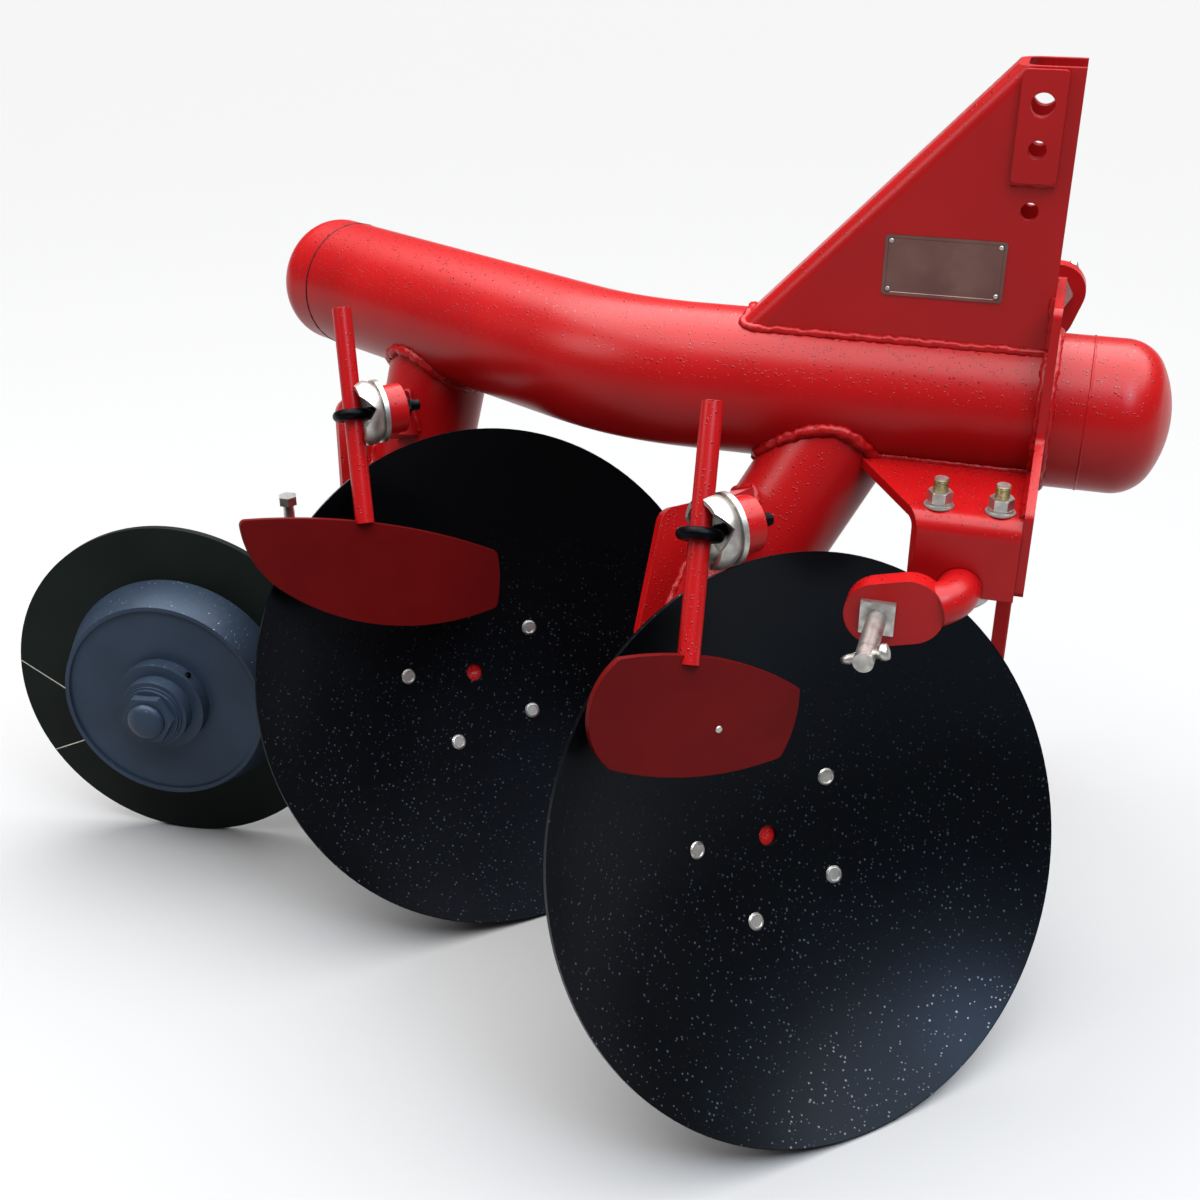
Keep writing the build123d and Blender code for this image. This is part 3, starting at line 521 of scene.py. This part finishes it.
def beads(name, paths, radius, ripple, material):
    # Paths: (points, closed)
    data = bpy.data.curves.new(name, "CURVE")
    data.dimensions = "3D"
    for points, closed in paths:
        spline = data.splines.new("POLY")
        spline.points.add(len(points) - 1)
        for target, point in zip(spline.points, points):
            target.co = (*point, 1)
        spline.use_cyclic_u = closed
    source = bpy.data.objects.new(name + "_path", data)
    bpy.context.scene.collection.objects.link(source)
    piece = made_plain(source, bead_tree, {"Radius": radius, "Ripple": ripple, "Material": material}, name)
    return ridden(piece, "frame")


def screw_thread(name, place, turns, radius, height, ridge, material):
    seed = mesh_piece("seed", [Vector()], [], material)
    piece = made_plain(seed, thread_tree, {
        "Turns": turns, "Radius": radius, "Height": height, "Ridge": ridge, "Material": material,
    }, name)
    piece.data.transform(place)
    return ridden(piece, "frame")


# Weld beads
WELD_R = 0.0055
WELD_RIPPLE = 0.0016
SADDLE_WELD_R = 0.0085
SADDLE_WELD_RIPPLE = 0.0022
CAP_SEAM_R = 0.0018
CAP_SEAM_RIPPLE = 0.0003
CAP_SEAM_SINK = 0.001
BRACKET_WELD_STOP = 0.02
PIPE_STEPS = 96
CARRIER_STEPS = 4 * PIPE_STEPS
SEAM_STEPS = 12
FOLD_STEPS = 24
# How near to a plate's face a point has to end to count as on it
ON_FACE = 0.0005
front_way = Vector((1, 0, 0))
rear_way = Vector((-cos(BEND_ANGLE), sin(BEND_ANGLE), 0))


def circle(centre, way, radius, steps=PIPE_STEPS):
    place = plane_at(centre, way, (0, 0, 1))
    return [place @ spot for spot in ring_points(radius, steps)]


def meets(start, way, axis_point, axis_way, radius):
    # Where a line from start first meets a round bar
    offset = start - axis_point
    across = offset - offset.dot(axis_way) * axis_way
    slide = way - way.dot(axis_way) * axis_way
    a, b, c = slide.dot(slide), across.dot(slide), across.dot(across) - radius**2
    return start + way * (-b - sqrt(max(b * b - a * c, 0))) / a


def saddle(foot, top, radius, axis_way):
    # Where a pipe from foot to top first meets the beam
    way = (top - foot).normalized()
    return [meets(point, way, top, axis_way, BEAM_R) for point in circle(foot, way, radius)]


def inside(point, outline):
    x, y = point
    crossings = 0
    for (x1, y1), (x2, y2) in zip(outline, outline[1:] + outline[:1]):
        if (y1 > y) != (y2 > y) and x < x1 + (y - y1) / (y2 - y1) * (x2 - x1):
            crossings += 1
    return crossings % 2 == 1


def runs(points, flags):
    # The unbroken stretches of a closed path whose points are flagged
    first = flags.index(False) if False in flags else 0
    stretches = [[]]
    for i in range(len(points)):
        k = (first + i) % len(points)
        if flags[k]:
            stretches[-1].append(points[k])
        elif stretches[-1]:
            stretches.append([])
    return [stretch for stretch in stretches if len(stretch) > 1]


def mast_back(z):
    return MAST_FOOT_REAR + (z - BEAM_Z) / MAST_H * (MAST_TOP_REAR - MAST_FOOT_REAR)


def beam_top(y):
    return BEAM_Z + sqrt(BEAM_R**2 - y**2)


# Mast to beam, along one side, round the folded back and along the other
mast_foot = [at(MAST_FRONT, -MAST_HALF, beam_top(MAST_HALF))]
for i in range(FOLD_STEPS + 1):
    y = -MAST_HALF + 2 * MAST_HALF * i / FOLD_STEPS
    curl = max(abs(y) - (MAST_HALF - MAST_FOLD_R), 0)
    fold = MAST_FOLD_R - sqrt(MAST_FOLD_R**2 - curl**2)
    mast_foot.append(at(mast_back(beam_top(y)) + fold, y, beam_top(y)))
mast_foot.append(at(MAST_FRONT, MAST_HALF, beam_top(MAST_HALF)))

disc_planes = {}
standard_lines = {}
welds = [(mast_foot, False)]
saddle_welds = []
for name, station in ROWS:
    joint = joints[f"disc_{name}_spin"]
    disc_way = Vector(joint["axis"]).normalized()
    disc_side = Vector((0, 0, 1)).cross(disc_way).normalized()
    plane = plane_at(Vector(joint["pos_m"]), disc_way, disc_side)
    disc_planes[name] = plane
    beam_way = front_way if station > 0 else -rear_way
    top = at(0, 0, BEAM_Z) + beam_way * station
    foot = plane @ Vector(STANDARD_FOOT)
    standard_lines[name] = (foot, top)
    saddle_welds.append((saddle(foot, top, STANDARD_R, beam_way), True))

    # Standard to carrier, on both faces of its plate
    pipe_way = (top - foot).normalized()
    to_plane = plane.inverted()
    outline = ((-CARRIER_EYE_R, 0), *CARRIERS[name], (CARRIER_EYE_R, 0))
    for depth in (CARRIER_FRONT, CARRIER_FRONT + CARRIER_T):
        ring = []
        for point in circle(foot, pipe_way, STANDARD_R, CARRIER_STEPS):
            reach = (-depth - (to_plane @ point).z) / pipe_way.dot(disc_way)
            ring.append(point + pipe_way * max(reach, 0))
        spots = [to_plane @ point for point in ring]
        kept = [inside(spot.xy, outline) and abs(spot.z + depth) < ON_FACE for spot in spots]
        for stretch in runs(ring, kept):
            welds.append((stretch, False))

    # Standard to lug, down both sides and along the top
    ring_x, root_x, root_depth = SCRAPERS[name]
    elbow = Vector((ring_x + LUG_SPAN, RING_HEIGHT, ROD_LIFT - LUG_ELBOW))
    root = Vector((root_x, RING_HEIGHT, -root_depth))
    web_way = (root - elbow).normalized()
    web_side = web_way.cross(Vector((0, 1, 0)))
    edge = [(s * LUG_T / 2, h * LUG_H / 2) for s, h in ((-1, -1), (-1, 1), (1, 1), (1, -1))]
    seam = []
    for (s1, h1), (s2, h2) in zip(edge, edge[1:]):
        for i in range(SEAM_STEPS):
            share = i / SEAM_STEPS
            start = elbow + web_side * (s1 + (s2 - s1) * share) + Vector((0, h1 + (h2 - h1) * share, 0))
            seam.append(meets(plane @ start, plane.to_3x3() @ web_way, foot, pipe_way, STANDARD_R))
    welds.append((seam, False))

# Hitch plate to beam, on both faces; then brackets, mast and doublers
for x in (MAST_FRONT, MAST_FRONT + PLATE_T):
    welds.append((circle(at(x, 0, BEAM_Z), front_way, BEAM_R), True))
bracket_reach = sqrt(BEAM_R**2 - (BEAM_Z - BRACKET_TOP) ** 2)
gusset_slope = (BRACKET_REAR - GUSSET_REAR) / (BRACKET_OUTER - BRACKET_INNER)
gusset_start = GUSSET_REAR + gusset_slope * (bracket_reach - BRACKET_INNER)
for side in (-1, 1):
    welds.append(([
        at(gusset_start, side * bracket_reach, BRACKET_TOP),
        at(MAST_FRONT, side * bracket_reach, BRACKET_TOP),
        at(MAST_FRONT, side * (BRACKET_OUTER - BRACKET_WELD_STOP), BRACKET_TOP),
    ], False))
    face = side * MAST_HALF
    welds.append(([
        at(MAST_FRONT, face, beam_top(MAST_HALF)), at(MAST_FRONT, face, BEAM_Z + PLATE_TOP),
    ], False))
    welds.append(([
        at(LINK_X - DOUBLER_HALF, face, DOUBLER_LOW), at(LINK_X + DOUBLER_HALF, face, DOUBLER_LOW),
    ], False))

# Wheel arm to the rear standard
rear_foot, rear_top = standard_lines["rear"]
rear_pipe_way = (rear_top - rear_foot).normalized()
arm_low = rear_foot.z + ARM_RISE
arm_way = (Vector(ARM_ROOT) - Vector(ARM_TIP)).normalized().to_3d()
arm_side = Vector((-arm_way.y, arm_way.x, 0)) * ARM_T / 2
corners = [
    at(*ARM_TIP, arm_low + rise) + arm_side * side
    for side, rise in ((-1, 0), (-1, ARM_H), (1, ARM_H), (1, 0))
]
seam = []
for start, end in zip(corners, corners[1:] + corners[:1]):
    for i in range(SEAM_STEPS):
        seam.append(meets(start.lerp(end, i / SEAM_STEPS), arm_way, rear_foot, rear_pipe_way, STANDARD_R))
welds.append((seam, True))
beads("frame_welds", welds, WELD_R, WELD_RIPPLE, red_enamel)
beads("saddle_welds", saddle_welds, SADDLE_WELD_R, SADDLE_WELD_RIPPLE, red_enamel)

# The front cap's seam is painted over; the rear one is a dark line of painted shade
front_seam = circle(at(FRONT_RUN, 0, BEAM_Z), front_way, BEAM_R - CAP_SEAM_SINK)
rear_seam = circle(at(0, 0, BEAM_Z) + rear_way * REAR_RUN, rear_way, BEAM_R - CAP_SEAM_SINK)
beads("front_cap_weld", [(front_seam, True)], CAP_SEAM_R, CAP_SEAM_RIPPLE, red_enamel)
beads("rear_cap_weld", [(rear_seam, True)], CAP_SEAM_R, CAP_SEAM_RIPPLE, seam_painted_shade)

# Disc bolts and their nuts behind the hub's flange
BOLT_CIRCLE = 0.1
BOLT_COUNT = 5
BOLT_R = 0.0105
HEAD_PROFILE = (
    (BOLT_R, -0.002), (BOLT_R, 0.0004), (0.0088, 0.002), (0.0075, 0.0022), (0.0065, 0.0012), (0.003, 0.0012),
)
STUB_PROFILE = ((0.0078, 0), (0.0078, 0.019), (0.0068, 0.0205))
HUB_WASHER_R = 0.016
HUB_WASHER_T = 0.0028
HUB_NUT_R = 0.0135
HUB_NUT_H = 0.012
PHASES = {"front": radians(29), "rear": radians(26)}
dish_r = (DISC_R**2 + DISH**2) / (2 * DISH)
bolt_lean = asin(BOLT_CIRCLE / dish_r)
bolt_depth = dish_r - DISH - sqrt(dish_r**2 - BOLT_CIRCLE**2)
head_place = Matrix.Translation((BOLT_CIRCLE, 0, bolt_depth)) @ Matrix.Rotation(-bolt_lean, 4, "Y")
nut_place = Matrix.Translation((BOLT_CIRCLE, 0, -HUB_FLANGE_BACK)) @ Matrix.Rotation(pi, 4, "X")
disc_bolt = [(*turned(HEAD_PROFILE, BOLT_SIDES), head_place)]
hub_nut = [
    (*turned(((HUB_WASHER_R, 0), (HUB_WASHER_R, HUB_WASHER_T)), WASHER_SIDES), nut_place),
    (*nut(HUB_NUT_R, HUB_NUT_H), nut_place @ lifted(HUB_WASHER_T)), (*turned(STUB_PROFILE), nut_place),
]
for name, _ in ROWS:
    for label, parts in (("disc_bolts", disc_bolt), ("hub_nuts", hub_nut)):
        source = mesh_piece(label, *joined(parts), zinc_plate)
        piece = made_plain(source, circle_tree, {
            "Count": BOLT_COUNT, "Phase": PHASES[name], "Material": zinc_plate,
        }, f"{label}_{name}")
        piece.data.transform(disc_planes[name])
        ridden(piece, f"disc_{name}")

# U-bolts: bar, washers, spring washers, nuts and threads stand for the plain ones
LEG_SPREAD = SHAFT_R + UBOLT_R
BEND_STEPS = 24
# The bar is cut down by this much for its thread
BAR_CUT = 0.0007
FLAT_WASHER_R = 0.0165
FLAT_WASHER_T = 0.002
SPRING_WASHER_R = 0.0135
SPRING_WASHER_T = 0.0032
WASHER_BULGE = 0.0003
LEG_NUT_R = 0.014
LEG_NUT_H = 0.013
LEG_THREAD_TURNS = 8.0
LEG_THREAD_R = UBOLT_R - 0.0009
LEG_THREAD_LOW = 0.0175
LEG_THREAD_H = 0.0145
LEG_THREAD_RIDGE = 0.0011


def tube(points, radius, sides=ROUND_SIDES):
    # A round bar along a bent line of points
    rings = []
    for i, point in enumerate(points):
        ahead = points[min(i + 1, len(points) - 1)] - points[max(i - 1, 0)]
        place = plane_at(point, ahead, (0, 1, 0))
        rings.append([place @ spot for spot in ring_points(radius, sides)])
    return skinned(rings)


def leg_washer(radius, thickness, sides):
    # A washer whose rim is a little full
    return turned(((radius, 0), (radius + WASHER_BULGE, thickness / 2), (radius, thickness)), sides)


flat_washer = leg_washer(FLAT_WASHER_R, FLAT_WASHER_T, WIDE_SIDES)
spring_washer = leg_washer(SPRING_WASHER_R, SPRING_WASHER_T, WASHER_SIDES)
leg_nut = nut(LEG_NUT_R, LEG_NUT_H)
for side_name, side in (("right", -1), ("left", 1)):
    bend = []
    for i in range(BEND_STEPS + 1):
        angle = pi * i / BEND_STEPS
        bend.append(at(SHAFT_X - LEG_SPREAD * cos(angle), side * UBOLT_Y, SHAFT_Z - LEG_SPREAD * sin(angle)))
    top = BRACKET_TOP + UBOLT_STICK
    legs = [at(SHAFT_X + way * LEG_SPREAD, side * UBOLT_Y, top) for way in (-1, 1)]
    parts = [(*tube([legs[0], *bend, legs[1]], UBOLT_R - BAR_CUT), Matrix())]
    for leg in legs:
        base = Matrix.Translation((leg.x, leg.y, BRACKET_TOP))
        parts += [
            (*flat_washer, base), (*spring_washer, base @ lifted(FLAT_WASHER_T)),
            (*leg_nut, base @ lifted(FLAT_WASHER_T + SPRING_WASHER_T)),
        ]
    bar = mesh_piece(f"u_bolt_set_{side_name}", *joined(parts), zinc_plate)
    ridden(bar, "frame")
    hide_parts(f"u_bolt_{side_name}")
    for leg_name, leg in zip(("rear", "front"), legs):
        screw_thread(
            f"thread_{side_name}_{leg_name}",
            Matrix.Translation((leg.x, leg.y, BRACKET_TOP + LEG_THREAD_LOW)),
            LEG_THREAD_TURNS, LEG_THREAD_R, LEG_THREAD_H, LEG_THREAD_RIDGE, yellow_zinc,
        )

# Nameplate: a blank plate with a raised border and four rivets on the mast's right face
PLATE_MIDDLE = (0.38, 0.868)
PLATE_HALF = (0.0675, 0.0345)
PLATE_THICK = 0.0012
PLATE_CORNER = 0.004
BORDER = 0.0035
BORDER_CORNER = 0.0025
FIELD_STEP = 0.0005
FIELD_CORNER = 0.0022
CORNER_STEPS = 6
RIVET_INSET = 0.007
RIVET_PROFILE = ((0.003, 0), (0.0029, 0.0009), (0.0022, 0.0016), (0.0009, 0.0019))


def rounded(inset, radius, height):
    # The plate's outline, drawn in by inset, with round corners
    half_x, half_y = (half - inset - radius for half in PLATE_HALF)
    points = []
    for corner, (sx, sy) in enumerate(((1, 1), (-1, 1), (-1, -1), (1, -1))):
        for i in range(CORNER_STEPS + 1):
            angle = pi / 2 * (corner + i / CORNER_STEPS)
            x = sx * half_x + radius * cos(angle)
            y = sy * half_y + radius * sin(angle)
            points.append(Vector((x, y, height)))
    return points


plate = skinned([
    rounded(0, PLATE_CORNER, 0), rounded(0, PLATE_CORNER, PLATE_THICK),
    rounded(BORDER, BORDER_CORNER, PLATE_THICK),
    rounded(BORDER + FIELD_STEP, FIELD_CORNER, PLATE_THICK - FIELD_STEP),
])
plate_place = plane_at(at(PLATE_MIDDLE[0], -MAST_HALF, PLATE_MIDDLE[1]), (0, -1, 0), (1, 0, 0))
ridden(mesh_piece("nameplate", *joined([(*plate, plate_place)]), aluminium_print_and_reflection), "frame")
rivet = turned(RIVET_PROFILE)
rivet_x, rivet_y = (half - RIVET_INSET for half in PLATE_HALF)
rivets = [
    (*rivet, plate_place @ Matrix.Translation((sx * rivet_x, sy * rivet_y, PLATE_THICK - FIELD_STEP)))
    for sx in (-1, 1) for sy in (-1, 1)
]
ridden(mesh_piece("nameplate_rivets", *joined(rivets), zinc_plate, True), "frame")

# Linch pins through the tips of the lower link pins
LINCH_BACK = 0.016
LINCH_R = 0.0055
LINCH_LEAN = (0.93, 0, 0.37)
LINCH_PROFILE = (
    (0.003, -0.026), (0.0048, -0.022), (LINCH_R, -0.018), (LINCH_R, 0.014), (0.0085, 0.0155),
    (0.0095, 0.02), (0.0085, 0.0245), (0.004, 0.026),
)
# The wire loop springs from the head and bows round the link pin's tip
LOOP_STEPS = 20
LOOP_WIRE_R = 0.0019
LOOP_OUT = 0.004
LOOP_BOW = 0.0165
LOOP_HIGH = 0.02
LOOP_SPAN = 0.042
shank = turned(LINCH_PROFILE)
for side_name, tip, side in PIN_TIPS:
    centre = at(*tip) - Vector((0, side * LINCH_BACK, 0))
    place = plane_at(centre, LINCH_LEAN, (0, 1, 0))
    loop = []
    for i in range(LOOP_STEPS + 1):
        angle = pi * i / LOOP_STEPS
        drop = LOOP_SPAN * (1 - cos(angle)) / 2
        loop.append(place @ Vector((side * (LOOP_OUT - LOOP_BOW * sin(angle)), 0, LOOP_HIGH - drop)))
    parts = [(*shank, place), (*tube(loop, LOOP_WIRE_R, WIRE_SIDES), Matrix())]
    ridden(mesh_piece(f"linch_pin_{side_name}", *joined(parts), zinc_plate, True), "frame")

# Threads on the eye bolts' ends
EYE_THREAD_TURNS = 7.0
EYE_THREAD_R = RING_R - 0.0004
EYE_THREAD_H = BOLT_STICK - 0.002
EYE_THREAD_RIDGE = 0.0009
for name, _ in ROWS:
    end = Vector((SCRAPERS[name][0] + LUG_SPAN + LUG_T / 2 + BOLT_NUT_H, RING_HEIGHT, ROD_LIFT))
    screw_thread(
        f"eye_thread_{name}", disc_planes[name] @ Matrix.Translation(end) @ Matrix.Rotation(pi / 2, 4, "Y"),
        EYE_THREAD_TURNS, EYE_THREAD_R, EYE_THREAD_H, EYE_THREAD_RIDGE, black_steel,
    )

# Rivet in the front blade
BLADE_RIVET_SPOT = (-0.1, -0.102, 0)
BLADE_RIVET_PROFILE = ((0.0042, -0.001), (0.0042, 0.0006), (0.003, 0.0014), (0.001, 0.0017))
rivet_place = disc_planes["front"] @ Matrix.Translation((0, RING_HEIGHT - BLADE_DROP, BLADE_LIFT))
rivet_place = rivet_place @ Matrix.Rotation(BLADE_TILT, 4, "X") @ Matrix.Translation(BLADE_RIVET_SPOT)
blade_rivet = joined([(*turned(BLADE_RIVET_PROFILE), rivet_place)])
ridden(mesh_piece("blade_rivet", *blade_rivet, bare_steel, True), "frame")

# Clamp screw on the stand's guide: a welded nut, the shank and a head
SCREW_NUT_R = 0.013
SCREW_NUT_H = 0.009
SCREW_R = 0.007
SCREW_LENGTH = 0.024
SCREW_HEAD_R = 0.012
SCREW_HEAD_H = 0.008
SCREW_HEAD_LOW = 0.022
screw_place = plane_at(at(GUIDE_REAR, LEG_Y, GUIDE_Z), (-1, 0, 0), (0, 1, 0))
screw_parts = [
    (*nut(SCREW_NUT_R, SCREW_NUT_H), screw_place),
    (*turned(((SCREW_R, 0), (SCREW_R, SCREW_LENGTH))), screw_place),
    (*nut(SCREW_HEAD_R, SCREW_HEAD_H), screw_place @ lifted(SCREW_HEAD_LOW)),
]
ridden(mesh_piece("stand_screw", *joined(screw_parts), zinc_plate), "frame")

# Furrow wheel: grease nipple on the boss, cap on the axle nut and two pale strips across the flange, painted
# light for the light seen through two narrow slits in it
NIPPLE_ANGLE = radians(48)
NIPPLE_PROFILE = ((0.0045, -0.001), (0.0045, 0.0015), (0.003, 0.0025), (0.0028, 0.0045))
CAP_PROFILE = ((0.025, 0), (0.025, 0.004), (0.022, 0.008), (0.014, 0.011), (0.005, 0.012))
STRIP_WIDTH = 0.0013
STRIP_RAISE = 0.0003
STRIP_INSET = 0.001
# Pale strips: angle at the rim, angle at the drum
GAP_LIGHT_LINES = ((175, 190), (211, 215))
wheel_joint = joints["furrow_wheel_spin"]
wheel_way = Vector(wheel_joint["axis"]).normalized()
wheel_plane = plane_at(Vector(wheel_joint["pos_m"]), wheel_way, Vector((0, 0, 1)).cross(wheel_way))
nipple_place = wheel_plane @ Matrix.Rotation(NIPPLE_ANGLE, 4, "Z")
nipple_place = nipple_place @ Matrix.Translation((BOSS_R, 0, BOSS_MIDDLE))
nipple = joined([(*turned(NIPPLE_PROFILE), nipple_place @ Matrix.Rotation(pi / 2, 4, "Y"))])
ridden(mesh_piece("grease_nipple", *nipple, black_steel), "furrow_wheel")
axle_cap = joined([(*turned(CAP_PROFILE, WIDE_SIDES), wheel_plane @ lifted(AXLE_NUT_FACE))])
ridden(mesh_piece("axle_cap", *axle_cap, grey_enamel, True), "furrow_wheel")


def ray(degrees, radius):
    return Vector((cos(radians(degrees)), sin(radians(degrees)), 0)) * radius


gap_light_strips = []
for rim_angle, drum_angle in GAP_LIGHT_LINES:
    outer = ray(rim_angle, WHEEL_R - STRIP_INSET)
    inner = ray(drum_angle, DRUM_BASE_R + STRIP_INSET)
    side = (inner - outer).cross(Vector((0, 0, 1))).normalized() * STRIP_WIDTH / 2
    corners = (outer + side, inner + side, inner - side, outer - side)
    levels = (WHEEL_T / 2, WHEEL_T / 2 + STRIP_RAISE)
    box = skinned([[corner + Vector((0, 0, level)) for corner in corners] for level in levels])
    gap_light_strips.append((*box, wheel_plane))
ridden(mesh_piece("flange_gap_light", *joined(gap_light_strips), bare_steel), "furrow_wheel")

# Floor: matt and pale, so that only soft shadows show on it
FLOOR_HALF = 40
floor_corners = [Vector((x, y, 0)) * FLOOR_HALF for x, y in ((-1, -1), (1, -1), (1, 1), (-1, 1))]
pale_floor, _, floor_surface, _ = shader("pale_floor")
floor_surface.inputs["Base Color"].default_value = linear("#888888")
floor_surface.inputs["Roughness"].default_value = 0.9
floor_surface.inputs["Specular IOR Level"].default_value = 0.1
mesh_piece("floor", floor_corners, [(0, 1, 2, 3)], pale_floor)

# A dim room to be lit by, and a pale backdrop where the room itself is seen
ROOM_LIGHT = 0.12
BACKDROP_LIGHT = 0.95
world = bpy.data.worlds.new("soft_room")
bpy.context.scene.world = world
world.use_nodes = True
room = world.node_tree.nodes["Background"]
room.inputs["Color"].default_value = linear("#F4F6FA")
room.inputs["Strength"].default_value = ROOM_LIGHT
backdrop = add(world.node_tree, "ShaderNodeBackground", {
    "Color": linear("#F6F6F6"), "Strength": BACKDROP_LIGHT,
})
seen = add(world.node_tree, "ShaderNodeLightPath")
sky = add(world.node_tree, "ShaderNodeMixShader", {
    0: seen.outputs["Is Camera Ray"], 1: room.outputs[0], 2: backdrop.outputs[0],
})
world.node_tree.links.new(sky.outputs[0], world.node_tree.nodes["World Output"].inputs["Surface"])


def lamp(name, kind, place, target, power):
    data = bpy.data.lights.new(name, kind)
    data.energy = power
    light = bpy.data.objects.new(name, data)
    light.location = place
    light.rotation_euler = (Vector(target) - Vector(place)).to_track_quat("-Z", "Y").to_euler()
    bpy.context.scene.collection.objects.link(light)
    return data


def disk_lamp(name, place, target, power, size):
    data = lamp(name, "AREA", place, target, power)
    data.shape = "DISK"
    data.size = size
    return data


# A broad ceiling of light, a long box along the beam, and round ones for the discs' sheen and the rear cap
ceiling = lamp("ceiling", "SUN", place=(0.2, 0.5, 3), target=(0, 0, 0), power=11.4)
ceiling.angle = radians(90)
long_box = lamp("long_box", "AREA", place=(-0.2, 0.9, 3), target=(0, 0, 0.7), power=20)
long_box.shape = "RECTANGLE"
long_box.size = 3.5
long_box.size_y = 0.9
round_box = disk_lamp("round_box", place=(1.47, -1.36, 2.46), target=(0.4, -0.3, 0.3), power=38, size=1.0)
round_box.color = linear("#C0D8F4")[:3]
disk_lamp("side_box", place=(-1.8, -1.2, 2.2), target=(-0.4, 0.2, 0.65), power=24, size=1.2)
